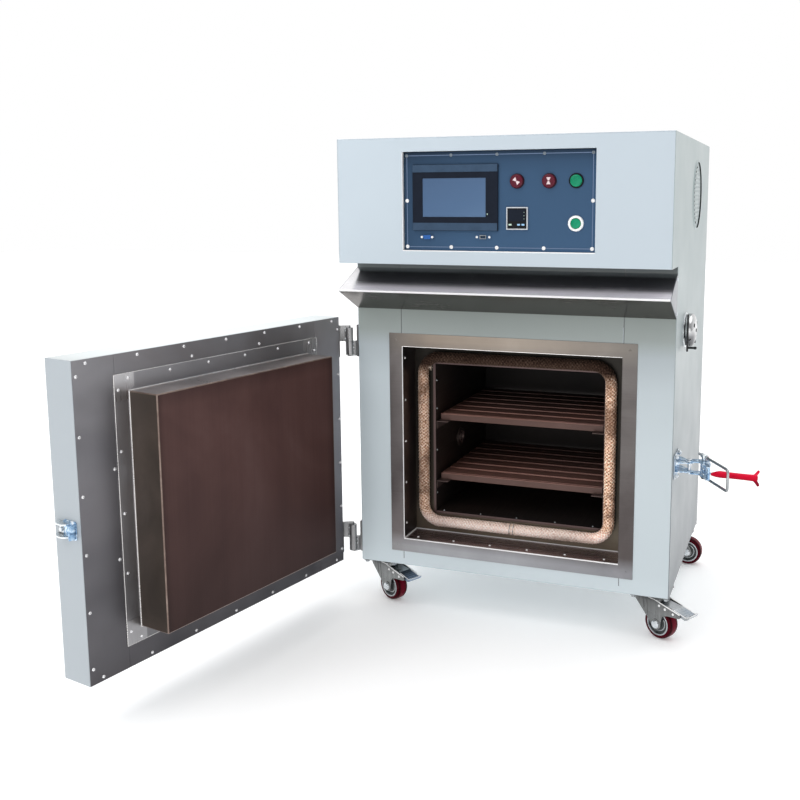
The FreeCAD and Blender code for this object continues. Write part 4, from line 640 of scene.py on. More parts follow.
def tube(points, radius, segs=14, closed=False):
    """A round bar along points; radius is a number or one number per point."""
    bm = bmesh.new()
    pts = [Vector(p) for p in points]
    n = len(pts)
    radii = radius if isinstance(radius, (list, tuple)) else [radius] * n
    rings, ref = [], None
    for i, p in enumerate(pts):
        a = pts[i - 1] if (i or closed) else p
        b = pts[(i + 1) % n] if (i < n - 1 or closed) else p
        d = (b - a).normalized()
        if ref is None:
            ref = d.orthogonal().normalized()
        ref = (ref - d * ref.dot(d)).normalized()
        s = d.cross(ref)
        rings.append([bm.verts.new(p + radii[i] * (cos(2 * pi * k / segs) * ref + sin(2 * pi * k / segs) * s)) for k in range(segs)])
    pairs = list(zip(rings, rings[1:])) + ([(rings[-1], rings[0])] if closed else [])
    for A, B in pairs:
        for k in range(segs):
            j = (k + 1) % segs
            bm.faces.new((A[k], A[j], B[j], B[k]))
    if not closed:
        bm.faces.new(rings[0][::-1])
        bm.faces.new(rings[-1])
    return bm


def aim(x, y, z, d=(0, 0, 1), spin=0.0):
    return Matrix.Translation((x, y, z)) @ Vector(d).to_track_quat("Z", "Y").to_matrix().to_4x4() @ Matrix.Rotation(rad(spin), 4, "Z")


def pan_head(r, h):
    """A domed screw head with a cross recess."""
    prof = [(r * 0.96, 0), (r, h * 0.18), (r * 0.985, h * 0.42), (r * 0.88, h * 0.70), (r * 0.70, h * 0.88), (r * 0.46, h * 0.98), (r * 0.40, h * 0.94), (r * 0.22, h * 0.45), (0, h * 0.40)]

    def wave(i, a):
        return 1.0 + (0.42 * cos(4 * a) if i in (6, 7) else 0.10 * cos(4 * a) if i == 5 else 0.0)

    return lathe(prof, 24, wave=wave)


def rivet(r, h):
    return lathe([(r, 0), (r * 0.98, h * 0.35), (r * 0.82, h * 0.72), (r * 0.5, h * 0.94), (0, h)], 18)


def hex_head(flat, h, washer=0.0):
    """A hexagon head with a chamfered top, on a washer face."""
    r = flat / math.sqrt(3)
    bm = bmesh.new()
    pts = [(r * cos(rad(60 * k)), r * sin(rad(60 * k))) for k in range(6)]
    low = [bm.verts.new((x, y, 0)) for x, y in pts]
    top = [bm.verts.new((x, y, h)) for x, y in pts]
    bm.faces.new(low[::-1])
    bm.faces.new(top)
    for i in range(6):
        j = (i + 1) % 6
        bm.faces.new((low[i], low[j], top[j], top[i]))
    bevel_sharp(bm, min(0.7, h * 0.2), 2)
    if washer:
        ring = lathe([(r * 1.45, -washer), (r * 1.5, -washer * 0.6), (r * 1.5, -washer * 0.2), (r * 1.45, 0), (0, 0)], 32)
        me = bpy.data.meshes.new("t")
        ring.to_mesh(me)
        ring.free()
        bm.from_mesh(me)
        bpy.data.meshes.remove(me)
    return bm


class Piece:
    def __init__(self, name, body, mats, replaces=(), slot=None, xf=None, smooth=38.0):
        self.name, self.body, self.mats, self.old, self.slot, self.xf, self.smooth = name, body, mats, replaces, slot, xf, smooth
        self.bm = bmesh.new()

    def add(self, part, mat=0, m=None):
        if mat is not None:
            for f in part.faces:
                f.material_index = mat
        if m is not None:
            part.transform(m)
        me = bpy.data.meshes.new("part")
        bmesh.ops.recalc_face_normals(part, faces=part.faces)
        part.to_mesh(me)
        part.free()
        self.bm.from_mesh(me)
        bpy.data.meshes.remove(me)
        return self

    def done(self):
        self.bm.transform(Matrix.Scale(MM, 4))
        me = bpy.data.meshes.new(self.name)
        self.bm.to_mesh(me)
        self.bm.free()
        for mat in self.mats:
            me.materials.append(mat)
        me.polygons.foreach_set("use_smooth", [True] * len(me.polygons))
        me.set_sharp_from_angle(angle=rad(self.smooth))
        ob = bpy.data.objects.new(self.name, me)
        scene.collection.objects.link(ob)
        even = ob.modifiers.new("even_normals", "WEIGHTED_NORMAL")
        even.weight = 90
        even.keep_sharp = True
        if self.xf is not None:
            ob.matrix_world = self.xf
        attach(ob, self.body)
        if self.old:
            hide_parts(*self.old)
        return ob


BODY_OF = {n: b for b, ns in frame["record"]["behaviour"]["bodies"].items() for n in ns}
SLOT_OF = {s["node"]: s["material_slot"] for s in frame["record"]["subparts"]}


def dress(node, mat, bev=0.4, seg=2, extra=None, xf=None):
    """A bevelled copy of a CAD node that stands for it. extra adds more parts to the same piece."""
    src = NODES[node].data
    bm = bmesh.new()
    bm.from_mesh(src)
    bm.transform(Matrix.Scale(1 / MM, 4))
    if xf is not None:
        bm.transform(Matrix.Diagonal((1 / MM, 1 / MM, 1 / MM, 1)).inverted() @ Matrix.Diagonal((1 / MM, 1 / MM, 1 / MM, 1)))
    bmesh.ops.remove_doubles(bm, verts=bm.verts, dist=0.002)
    bmesh.ops.dissolve_limit(bm, angle_limit=rad(1.0), verts=bm.verts, edges=bm.edges)
    bevel_sharp(bm, bev, seg, 30.0)
    p = Piece(node + "_skin", BODY_OF[node], mat if isinstance(mat, list) else [mat], (node,), SLOT_OF[node])
    p.add(bm, 0)
    if extra:
        extra(p)
    return p.done()


def keep(node, mat):
    """A CAD node that shows as it is, with a better finish."""
    me = NODES[node].data
    me.materials.clear()
    me.materials.append(mat)


def simple(name, node, mats, slot=None, xf=None, body=None, smooth=38.0, replaces=None):
    return Piece(name, body or BODY_OF[node], mats, (node,) if replaces is None else replaces, slot or SLOT_OF[node], xf, smooth)


# ------------------------------------------------------------------ floor
bm = bmesh.new()
for x, y in ((-14, -14), (14, -14), (14, 14), (-14, 14)):
    bm.verts.new((x, y, 0))
bm.faces.new(bm.verts[:] if False else list(bm.verts))
me = bpy.data.meshes.new("floor")
bm.to_mesh(me)
bm.free()
me.materials.append(M_FLOOR)
floor = bpy.data.objects.new("floor", me)
scene.collection.objects.link(floor)

# ------------------------------------------------------------------ cabinet sheets
SIDE = [(0, 108), (585, 108), (585, 1139), (-96.2, 1139), (-96.2, 858.5), (0, 858.5)]
p = simple("side_panel_left_skin", "side_panel_left", [M_PAINT_LEFT_SHADED])
p.add(prism(SIDE, "YZ", -380, -378.5, 1.0, 3))
p.done()


def louvre_hoods(p):
    """Scoops over the slots, drawn open towards the front by a near-black front face (painted shadow) and fading out to
    the back, inside a raised ring whose inner wall is near-black (painted shadow).
    """
    for k in range(14):
        dz = (k - 6.5) * 10.0
        half = math.sqrt(72.0 ** 2 - dz ** 2)
        z = 1011.0 + dz
        near, far = 313.0 - half - 1.0, 313.0 + half + 1.0
        bm = bmesh.new()
        loops = []
        for y, h in ((near, 3.3), (near + 6.0, 3.4), (near + 0.5 * (far - near), 2.2), (far, 0.35)):
            sect = [(379.9, z + 3.9), (380.0 + h * 0.75, z + 2.7), (380.0 + h, z + 1.0), (380.0 + h, z - 1.0), (380.0 + h * 0.75, z - 2.7), (379.9, z - 3.9)]
            loops.append([bm.verts.new((x, y, w)) for x, w in sect])
        for A, B in zip(loops, loops[1:]):
            for i in range(5):
                bm.faces.new((A[i], A[i + 1], B[i + 1], B[i]))
            bm.faces.new((A[5], A[0], B[0], B[5]))
        # near-black front face: painted shadow of the slot opening
        bm.faces.new(loops[0]).material_index = 1
        bm.faces.new(loops[-1][::-1])
        p.add(bm, None)
    ring = lathe([(78.6, 0), (78.6, 3.0), (80.4, 3.0), (82.6, 0)], 96, True)
    for f in ring.faces:
        c = f.calc_center_median()
        # near-black inner wall of the ring: painted shadow
        f.material_index = 1 if math.hypot(c.x, c.y) < 79.0 and c.z > 0.2 else 0
    p.add(ring, None, aim(380, 313, 1011, (1, 0, 0)))


dress("side_panel_right", [M_PAINT_SIDE_SHADED, M_DARK_AND_SHADOW], 0.35, 2, louvre_hoods)


def top_extra(p):
    for x in (-366, -183, 0, 183, 366):
        p.add(pan_head(4.0, 2.2), 1, aim(x, 572, 1136.8))


p = simple("top_panel_skin", "top_panel", [M_PAINT, M_SCREW])
p.add(pbox(-378.5, 378.5, -96.2, 585, 1137.5, 1139, 0.7, 3))
p.done()

p = simple("control_front_skin", "control_front", [M_PAINT, M_WHITE_AND_HIGHLIGHT])
# white strips along the bottom edge and left wall of the panel recess: painted highlights
p.add(pbox(-219.8, 217.8, -96.4, -88.2, 888.3, 890.4, 0.3), 1)
p.add(pbox(-220.3, -219.3, -96.0, -88.2, 890.5, 1107.5, 0.2), 1)
p.add(ring_plate((-378.5, 378.5, 858.5, 1137.5), (-220, 218, 890, 1108), -96.2, -94.7, 0.7, 3))
p.add(ring_plate((-221.5, 219.5, 888.5, 1109.5), (-220, 218, 890, 1108), -95.2, -88.2, 0.3, 2))
p.done()

dress("control_deck", M_DECK_LIT_AND_SHADED, 0.3)

p = simple("front_frame_skin", "front_frame", [M_PAINT_LOW, M_SEAM, M_WHITE_AND_HIGHLIGHT, M_PAINT])
# a thin strip of the lighter cabinet paint beside the right seam: painted highlight
p.add(pbox(264.4, 265.3, -0.10, 0.4, 688.4, 722.0, 0.03), 3)
p.add(pbox(-378.5, -267.3, 0, 1.5, 109.5, 858.5, 0.45))
p.add(pbox(267.3, 378.5, 0, 1.5, 109.5, 858.5, 0.45))
p.add(pbox(-265.6, 265.6, 0, 1.5, 657.2, 858.5, 0.45))
p.add(pbox(-265.6, 265.6, 0, 1.5, 109.5, 173.8, 0.45))
for s in (-1, 1):
    p.add(pbox(s * 266.4 - 2.2, s * 266.4 + 2.2, 0.9, 2.0, 657.2, 858.5, 0), 1)
    p.add(pbox(s * 266.4 - 2.2, s * 266.4 + 2.2, 0.7, 2.0, 109.5, 173.8, 0), 1)
    p.add(pbox(s * 266.45 - 1.2, s * 266.45 + 1.2, 0.05, 1.5, 109.5, 124.0, 0.04), 0)
p.done()


def back_extra(p):
    for x in (-366, -220, -73, 73, 220, 366):
        for z in (122, 1126):
            p.add(pan_head(4.2, 2.4), 1, aim(x, 585, z, (0, 1, 0)))
    for z in (290, 457, 624, 791, 958):
        for x in (-366, 366):
            p.add(pan_head(4.2, 2.4), 1, aim(x, 585, z, (0, 1, 0)))
    for s in (-1, 1):
        for i in range(10):
            z = 858.5 + 62.5 + i * 18
            pts = [(585.0, z + 5.6), (588.2, z + 3.0), (589.4, z - 2.0), (588.5, z - 2.0), (587.5, z + 2.3), (585.0, z + 4.3)]
            p.add(prism(pts, "YZ", s * 170 - 74, s * 170 + 74, 0.0), 0)


dress("back_cover", [M_PAINT, M_SCREW], 0.35, 2, back_extra)
dress("bottom_plate", M_PAINT_LOW, 0.4)

# ------------------------------------------------------------------ hood
p = simple("hood_skin", "hood", [M_HOOD, M_HOOD_LOW_SHADED, M_HOOD_LIP_HIGHLIGHT, M_SCREW, M_HOOD_END_SHADED])
p.add(prism([(0, 843.2), (-101.6, 797.6), (-100.4, 795.9), (0, 841.5)], "YZ", -378.8, 378.8, 0.0), 0)
p.add(prism([(-101.6, 793.2), (0, 744.5), (0, 746.2), (-100.4, 794.9)], "YZ", -378.8, 378.8, 0.0), 1)
# near-white lip: painted highlight
lip = [(-101.6, 797.6), (-104.6, 796.9), (-106.2, 795.5), (-104.6, 793.9), (-101.6, 793.2), (-100.4, 794.9), (-100.4, 795.9)]
p.add(prism(lip, "YZ", -378.8, 378.8, 0.0), 2)
for s in (-1, 1):
    a, b = (378.8, 380.0) if s > 0 else (-380.0, -378.8)
    p.add(prism([(0, 843.2), (-103.5, 796.8), (-106.2, 795.5), (-103.5, 794.0), (0, 744.5)], "YZ", a, b, 0.3), 4)
    for y, z in ((-9, 831.0), (-9, 757.0)):
        p.add(pan_head(3.6, 2.2), 3, aim(s * 380.0, y, z, (s, 0, 0)))
p.done()

# ------------------------------------------------------------------ trim frame and reveal
p = simple("trim_frame_skin", "trim_frame", [M_TRIM, M_REVEAL, M_REVEAL_FLOOR_LIT, M_WHITE_AND_HIGHLIGHT, M_GLINT_EDGE], smooth=30)
p.add(ring_plate((-298, 298, 143.1, 686.7), (-265, 265, 175.5, 655.4), -1.5, 0.0, 0.35, 2), 0)
# reveal walls in the shaded steel and the floor in the lit copy: painted shade and light
p.add(pbox(-266.5, -265, 0, 81, 175.5, 655.4, 0.3), 1)
p.add(pbox(265, 266.5, 0, 81, 175.5, 655.4, 0.3), 1)
p.add(pbox(-266.5, 266.5, 0, 81, 655.4, 656.9, 0.3), 1)
p.add(pbox(-266.5, 266.5, 0, 81, 174, 175.5, 0.3), 2)
# bright tubes along the inner edges and the reveal's bottom corners, and white and bright rivet heads: painted
# highlights
inner = [(-264.6, -1.0, 175.9), (264.6, -1.0, 175.9), (264.6, -1.0, 655.0), (-264.6, -1.0, 655.0)]
p.add(tube([inner[0], inner[1]], 1.5, 10), 3)
p.add(tube([inner[1], inner[2]], 0.6, 8), 0)
p.add(tube([inner[2], inner[3]], 0.7, 8), 4)
p.add(tube([inner[3], inner[0]], 1.1, 10), 3)
p.add(tube([(-263.6, 1.0, 176.6), (-263.6, 80, 176.6)], [2.2, 1.7], 10), 3)
p.add(tube([(263.8, 1.0, 176.4), (263.8, 80, 176.4)], 1.2, 10), 4)
p.add(tube([(-264, 79.0, 176.6), (264, 79.0, 176.6)], 1.3, 10), 3)
for x in (-236.0, -143.0, -50.0, 42.5, 135.0, 228.0):
    p.add(rivet(2.9, 2.0), 3, aim(x, 20, 175.5))
    p.add(rivet(2.6, 1.6), 4, aim(x, 20, 655.4, (0, 0, -1)))
for z in (211.0, 314.4, 417.8, 521.0, 624.5):
    p.add(rivet(2.7, 1.8), 3, aim(-265, 16, z, (1, 0, 0)))
    p.add(rivet(2.6, 1.6), 4, aim(265, 16, z, (-1, 0, 0)))
p.done()
p = simple("trim_rivets_skin", "trim_rivets", [M_TRIM])
for x in (-281.5, 281.5):
    for z in (159.3, 671.05):
        p.add(rivet(2.6, 0.9), 0, aim(x, -1.5, z, (0, -1, 0)))
p.done()


# ------------------------------------------------------------------ rope gasket: knitted sleeve with loose fibres
def rope_line(step):
    hx, hr, z0, z1, r = 237.5, 228.3, 206.0, 622.0, 42.0
    pts = []
    runs = [((-6, z0), (hr - r, z0)), ((hr, z0 + r), (hr, z1 - r)), ((hr - r, z1), (-hx + r, z1)), ((-hx, z1 - r), (-hx, z0 + r)), ((-hx + r, z0), (-6, z0))]
    centres = [(hr - r, z0 + r, -90), (hr - r, z1 - r, 0), (-hx + r, z1 - r, 90), (-hx + r, z0 + r, 180)]
    for i, (a, b) in enumerate(runs):
        length = math.dist(a, b)
        n = max(2, int(length / step))
        pts += [(a[0] + (b[0] - a[0]) * k / n, a[1] + (b[1] - a[1]) * k / n) for k in range(n)]
        if i < 4:
            cx, cz, s = centres[i]
            n = int(r * pi / 2 / step)
            pts += [(cx + r * cos(rad(s + 90 * k / n)), cz + r * sin(rad(s + 90 * k / n))) for k in range(n)]
    return pts


def rope_mesh():
    bm = bmesh.new()
    pts = rope_line(1.5)
    n, segs = len(pts), 56
    rings, run = [], 0.0
    spots = []
    for i, (x, z) in enumerate(pts):
        a, b = pts[i - 1], pts[(i + 1) % n]
        tx, tz = b[0] - a[0], b[1] - a[1]
        q = math.hypot(tx, tz)
        tx, tz = tx / q, tz / q
        nx, nz = tz, -tx
        ring = []
        fat = 12.7 + 0.45 * noise.noise(Vector((x * 0.02, 3.1, z * 0.02)))
        for k in range(segs):
            th = 2 * pi * k / segs
            u, w = run * 2 * pi / 8.0, th * 8
            h = 0.60 * cos(u + w) + 0.60 * cos(u - w + 0.5 * sin(3 * th) + 0.9 * noise.noise(Vector((x * 0.05, th, z * 0.05)))) + 0.22 * cos(2 * u)
            h += 0.55 * noise.noise(Vector((x * 0.35, th * 4.0, z * 0.35)))
            r = fat + h
            wx, wy = cos(th), sin(th)
            dy = r * wy * 0.985
            if dy < -13.0:
                dy = -13.0 + 0.3 * (dy + 13.0)
            ring.append(bm.verts.new((x + nx * r * wx, 67.4 + dy, z + nz * r * wx)))
        rings.append(ring)
        spots.append((x, z, nx, nz))
        run += q / 2
    for i in range(n):
        A, B = rings[i], rings[(i + 1) % n]
        for k in range(segs):
            j = (k + 1) % segs
            bm.faces.new((A[k], A[j], B[j], B[k]))
    return bm, spots


p = simple("gasket_rope_weave", "gasket_rope", [M_ROPE, M_FIBRE, M_ROD], smooth=80)
mesh, spots = rope_mesh()
p.add(mesh)
rng = random.Random(3)


def fibre(spot, reach, thick):
    x, z, nx, nz = spot
    th = rng.uniform(0, 2 * pi)
    d = Vector((nx * cos(th), sin(th), nz * cos(th)))
    a = Vector((x, 67.4, z)) + d * 12.2
    bend = Vector((rng.uniform(-1, 1), rng.uniform(-1, 1), rng.uniform(-1, 1)))
    length = rng.uniform(0.45, 1.0) * reach * (0.5 if sin(th) < -0.55 else 1.0)
    b = a + (d + 0.9 * bend).normalized() * length
    if abs(b.x) > 262 or b.y > 80.4 or b.y < 54.0 or (z > 600 and rng.random() < 0.6):
        return
    p.add(tube([a, (a + b) / 2 + bend * 0.15, b], [thick, thick * 0.8, thick * 0.3], 3), 1 if z < 590 else 0)


for i in range(6500):
    fibre(rng.choice(spots), 3.0, 0.22)
tie = [q for q in spots if q[1] < 212 and -17 < q[0] < 5]
for i in range(420):
    fibre(rng.choice(tie), 4.6, 0.26)
for i in range(14):
    a = Vector((-214.5, 56.5, 598.5)) + Vector((rng.uniform(-1.5, 1.5), 0, rng.uniform(-1.5, 1.5)))
    b = a + Vector((rng.uniform(-0.6, 1.0), -0.25, rng.uniform(-1.0, 0.6))).normalized() * rng.uniform(5.0, 9.0)
    b.y = max(b.y, 54.6)
    p.add(tube([a, (a + b) / 2 + Vector((0.6, -0.4, 0.5)), b], [0.4, 0.34, 0.16], 4), 1)
for x, r in ((-12.5, 0.85), (-9.0, 0.75), (-3.0, 0.85), (0.8, 0.75)):
    p.add(tube([(x + 0.5 * sin(3 * t), 67.4 + 12.7 * cos(t), 206 + 13.5 * sin(t)) for t in [2 * pi * k / 48 for k in range(48)]], r, 8, True), 2 if x in (-12.5, -3.0) else 1)
p.done()


# ------------------------------------------------------------------ chamber
def liner_extra(p):
    for x in (-193, -97, -4, 93, 186):
        p.add(rivet(2.4, 1.5), 1, aim(x, 90, 228.0))
    for z in (272.5, 383, 489, 560):
        p.add(rivet(2.4, 1.5), 1, aim(-211, 90, z, (1, 0, 0)))
        p.add(rivet(2.4, 1.5), 1, aim(211, 90, z, (-1, 0, 0)))
    for r in (24.0, 18.5, 12.0):
        p.add(lathe([(r, 0), (r, 3.0), (r - 1.0, 4.2), (r - 2.2, 4.2), (r - 3.0, 3.0), (r - 3.0, 0)], 40), 2, aim(-211, 262, 377, (1, 0, 0)))


dress("chamber_liner", [M_LINER, M_SCREW, M_RAIL], 0.3, 2, liner_extra)
p = Piece("liner_lip_skin", "cabinet", [M_LIP, M_BACKING_SHADED], (), "liner_steel")
p.add(ring_plate((-217, 217, 222, 609), (-211, 211, 228, 603), 80.2, 81.0, 0.3), 0)
p.add(ring_plate((-264.8, 264.8, 175.8, 655.2), (-216.8, 216.8, 222.2, 608.8), 80.4, 81.0, 0.1), 1)
p.done()
dress("air_baffle", M_LINER_BACK_SHADOW, 0.3)
dress("shelf_rails", M_RAIL, 0.3)
keep("insulation", M_WOOL)
keep("heater_elements", M_RAIL)
keep("thermocouple", M_RAIL)
keep("fan_motor", M_MOTOR)
keep("fan_impeller", M_ALU)
keep("electrics_tray", M_ALU)
keep("door_insulation", M_WOOL)

for level, name in ((457.6, "shelf_upper"), (304.9, "shelf_lower")):
    p = simple(name + "_skin", name, [M_SHELF, M_SHELF_BAR_SHADED])
    p.add(pbox(-205.5, 205.5, 102, 110, level, level + 15.4, 1.0, 3), 1)
    p.add(tube([(-205, 103.0, level + 15.2), (205, 103.0, level + 15.2)], 0.9, 8), 0)
    for s in (-1, 1):
        x0, x1 = (185.5, 205.5) if s > 0 else (-205.5, -185.5)
        p.add(pbox(x0, x1, 110, 456, level, level + 11, 0.8, 2))
    for i in range(7):
        y0 = 112 + 52 * i
        y1 = y0 + 42 if i < 6 else 456
        p.add(pbox(-205.5, 205.5, y0, y1, level + 11, level + 16, 1.4, 3))
    p.done()

# ------------------------------------------------------------------ control panel
p = simple("control_panel_skin", "control_panel", [M_PANEL, M_PANEL_LINE, M_DARK_AND_SHADOW])
p.add(pbox(-219.6, 217.6, -88.2, -86.2, 890.4, 1107.6, 0.3))
p.add(ring_plate((-211.9, 211.4, 897.4, 1100.1), (-210.3, 209.8, 899.0, 1098.5), -88.55, -88.1, 0.12, 1), 1)
p.done()
p = simple("panel_screws_skin", "panel_screws", [M_WHITE_AND_HIGHLIGHT, M_SCREW_SHADED])
# top row in the darker screw copy (painted shade), bottom row larger and near-white (painted highlight)
for x, z in [(x, z) for x in (-211.0, -106.2, -0.5, 105.2, 210.5) for z in (1099.2, 898.3)] + [(-211.0, 1000.3), (211.0, 999.5)]:
    p.add(pan_head(3.5 if z > 1050 else 4.3, 2.4), 1 if z > 1050 else 0, aim(x, -88.2, z, (0, -1, 0), 20 * (x % 7)))
p.done()

p = simple("touch_screen_skin", "touch_screen", [M_NAVY, M_BAND, M_SCREEN, M_BLACK, M_KEY_PALE])
p.add(ring_plate((-196, 3, 934.6, 1079.2), (-172, -24.8, 964.8, 1049.3), -94.2, -88.2, 1.0, 3))
p.add(pbox(-195.2, 2.2, -95.1, -94.0, 1062.6, 1078.6, 0.45), 1)
p.add(pbox(-195.2, 2.2, -95.1, -94.0, 935.2, 951.8, 0.45), 1)
p.add(pbox(-173, -23.8, -92.9, -89.0, 963.8, 1050.3, 0.2), 2)
p.add(pbox(-186, -7, -88.2, -50.2, 944.6, 1069.2, 1.0), 3)
p.add(pbox(-21.5, -19.6, -94.5, -94.0, 969.5, 972.6, 0.15), 4)
p.done()

p = simple("data_ports_skin", "data_ports", [M_WHITE_AND_HIGHLIGHT, M_BLUE, M_BLACK, M_ROD, M_PANEL])
p.add(prism([(-178, 913.8), (-147.2, 913.8), (-147.2, 926.2), (-178, 926.2)], "XZ", -89.4, -88.2, 0.4), 4)
dee = [(-171.6, 924.6), (-153.6, 924.6), (-155.4, 915.4), (-169.8, 915.4)]
p.add(prism(dee, "XZ", -93.4, -89.4, 0.5), 1)
for i in range(5):
    p.add(lathe([(0.7, 0), (0.7, 0.25), (0, 0.3)], 10), 2, aim(-169 + i * 3.2, -93.4, 922.2, (0, -1, 0)))
for i in range(4):
    p.add(lathe([(0.7, 0), (0.7, 0.25), (0, 0.3)], 10), 2, aim(-167.4 + i * 3.2, -93.4, 918.2, (0, -1, 0)))
for x in (-174.9, -150.3):
    p.add(hex_head(5.0, 4.4), 0, aim(x, -89.4, 920, (0, -1, 0)))
p.add(prism([(-50, 914.5), (-13.2, 914.5), (-13.2, 927.5), (-50, 927.5)], "XZ", -89.4, -88.2, 0.4), 4)
p.add(ring_plate((-39, -24.2, 916.8, 925.2), (-37.6, -25.6, 918.2, 923.8), -92.0, -89.4, 0.25), 3)
p.add(pbox(-37.2, -26, -90.6, -89.6, 920.6, 922.4, 0.1), 2)
for x in (-46, -17.2):
    p.add(pan_head(2.7, 1.6), 0, aim(x, -89.4, 921, (0, -1, 0)))
p.add(pbox(-171.5, -153.7, -88.2, -76.2, 915, 925, 0.3), 2)
p.add(pbox(-38.2, -25, -88.2, -74.2, 917.4, 924.6, 0.3), 2)
p.done()

p = simple("panel_signals_skin", "panel_signals", [M_MAROON, M_PALE, M_BLACK, M_GREEN, M_CHROME, M_MAROON_SHADED, M_WHITE_AND_HIGHLIGHT])
for x, spin in ((45.1, 45.0), (116.2, 0.0)):
    here = aim(x, -88.2, 1041.5, (0, -1, 0))
    cap = lathe([(16.2, 0), (16.2, 1.4), (15.6, 2.2), (14.6, 2.6), (14.6, 6.4), (13.8, 7.8), (12.4, 8.4), (11.6, 8.2), (0, 8.2)], 44)
    # the cap's side wall takes the darker maroon: painted shade
    for f in cap.faces:
        f.material_index = 5 if f.calc_center_median().z < 6.2 else 0
    p.add(cap, None, here)
    for s in (-1, 1):
        tri = [(-4.6, s * 7.4), (4.6, s * 7.4), (1.5, s * 0.6), (-1.5, s * 0.6)]
        p.add(prism(tri, "XY", 8.05, 8.55, 0.12), 1, here @ Matrix.Rotation(rad(spin), 4, "Z"))
    p.add(lathe([(11, 0), (11, 34), (0, 34)], 32), 2, aim(x, -88.2, 1041.5, (0, 1, 0)))
here = aim(174.8, -88.2, 1041.3, (0, -1, 0))
p.add(lathe([(16, 0), (16, 1.8), (15.3, 3.0), (13.2, 3.2), (13.0, 2.0), (12.6, 2.0)], 44), 2, here)
p.add(lathe([(12.8, 1.6), (12.8, 4.6), (12.0, 6.0), (9.0, 6.8), (4.0, 7.0), (0, 7.0)], 44), 3, here)
for k in range(-3, 4):
    half = math.sqrt(max(0.0, 10.0 ** 2 - (k * 2.6) ** 2))
    p.add(pbox(-half, half, k * 2.6 - 0.35, k * 2.6 + 0.35, 6.4, 7.15, 0.2), 3, here)
p.add(lathe([(11, 0), (11, 34), (0, 34)], 32), 2, aim(174.8, -88.2, 1041.5, (0, 1, 0)))
here = aim(175, -88.2, 951.7, (0, -1, 0))
p.add(lathe([(17, 0), (17, 2.4), (16.5, 3.8), (15.4, 4.9), (13.6, 5.0), (12.0, 4.4), (11.3, 3.4), (11.0, 2.0), (11.0, 0)], 56), 6, here)
p.done()

p = simple("power_button_skin", "power_button", [M_GREEN, M_BLACK])
here = aim(175, -79.8, 951.7, (0, -1, 0))
p.add(lathe([(0, 0), (12.3, 0), (12.3, 7.6), (10.7, 7.8), (10.7, 12.6), (10.2, 13.8), (8.0, 14.4), (4.0, 14.6), (0, 14.6)], 48), 0, here)
p.done()

p = simple("temp_controller_skin", "temp_controller", [M_SILVER, M_BLACK, M_NAVY, M_KEY_PALE])
p.add(ring_plate((22, 70, 937.5, 986.4), (24.6, 67.4, 940.1, 983.8), -93.2, -88.2, 1.1, 3), 0)
p.add(pbox(24.3, 67.7, -92.2, -88.2, 939.8, 984.1, 0.2), 1)
p.add(pbox(27.5, 64.5, -92.5, -92.0, 956, 981, 0.15), 2)
for k, z in enumerate((975, 968, 961)):
    p.add(pbox(61.2, 62.6, -92.8, -92.4, z - 0.5, z + 0.5, 0.1), 3)
p.add(pbox(25, 67, -88.2, -13.2, 940.5, 983.4, 0.8), 1)
p.done()
for tag, x, mat in (("left", 31.0, M_KEY_PALE), ("mid", 50.2, M_KEY_BLUE), ("right", 60.0, M_KEY_BLUE)):
    p = simple("key_%s_skin" % tag, "controller_key_" + tag, [mat])
    p.add(pbox(x - 3.2, x + 3.2, -94.0, -91.7, 946.7, 950.3, 0.5, 3))
    p.done()

p = simple("cable_gland_skin", "cable_gland", [M_GLAND])
here = aim(250, 585, 185, (0, 1, 0))
p.add(hex_head(22.5, 7), 0, here)
p.add(lathe([(10.5, 7), (10.5, 12), (6.2, 12), (6.2, 7)], 32, True), 0, here)
p.add(lathe([(11.5, 12), (11.5, 19), (10.2, 22.5), (8.0, 24), (6.1, 24), (6.1, 12)], 32, True, wave=lambda i, a: 1 + (0.035 * cos(14 * a) if i in (0, 1) else 0)), 0, here)
p.done()

# ------------------------------------------------------------------ side vent
p = simple("side_port_skin", "side_port", [M_CHROME, M_RAIL])
p.add(lathe([(40.5, 0), (40.5, 1.4), (39.4, 2.6), (36, 3.0), (22, 3.0), (20, 2.4), (20, 0)], 56, True), 0, aim(380, 160, 702, (1, 0, 0)))
p.add(lathe([(22, 0), (22, 167.5), (20, 167.5), (20, 0)], 40, True), 1, aim(212.5, 160, 702, (1, 0, 0)))
p.done()
p = simple("vent_cap_skin", "vent_cap", [M_VENT, M_DARK_AND_SHADOW, M_LEVER])
here = aim(383.4, 160, 702, (1, 0, 0))
prof = [(0, -14), (19.4, -14), (19.6, 0), (30, 0), (36.6, 0.6), (37.5, 2.4), (37.5, 11.0), (36.0, 15.6), (32.0, 18.4), (26.0, 20.2), (16.0, 21.6), (0, 22.0)]
p.add(lathe(prof, 72, wave=lambda i, a: 1 + (0.012 * cos(36 * a) if i in (5, 6) else 0)), 0, here)
for k in range(3):
    a = rad(120 * k + 30)
    spot = here @ Matrix.Translation((25.0 * cos(a), 25.0 * sin(a), 19.4)) @ Matrix.Rotation(a, 4, "Z")
    p.add(prism([(-4, -4.2), (4, -4.2), (5.2, 0), (4, 4.2), (-4, 4.2), (-5.2, 0)], "XY", 0.2, 1.2, 0.2), 1, spot)
lever = [(-2.6, -45), (2.6, -45), (3.5, -42.5), (3.5, -12), (5.0, -6), (5.0, 6), (3.5, 12), (2.8, 38), (2.0, 40), (-2.0, 40), (-2.8, 38), (-3.5, 12), (-3.5, -42.5)]
p.add(prism([(120.5 + u, 702 + w) for u, w in lever], "YZ", 388.4, 392.4, 0.7, 2, 35), 2)
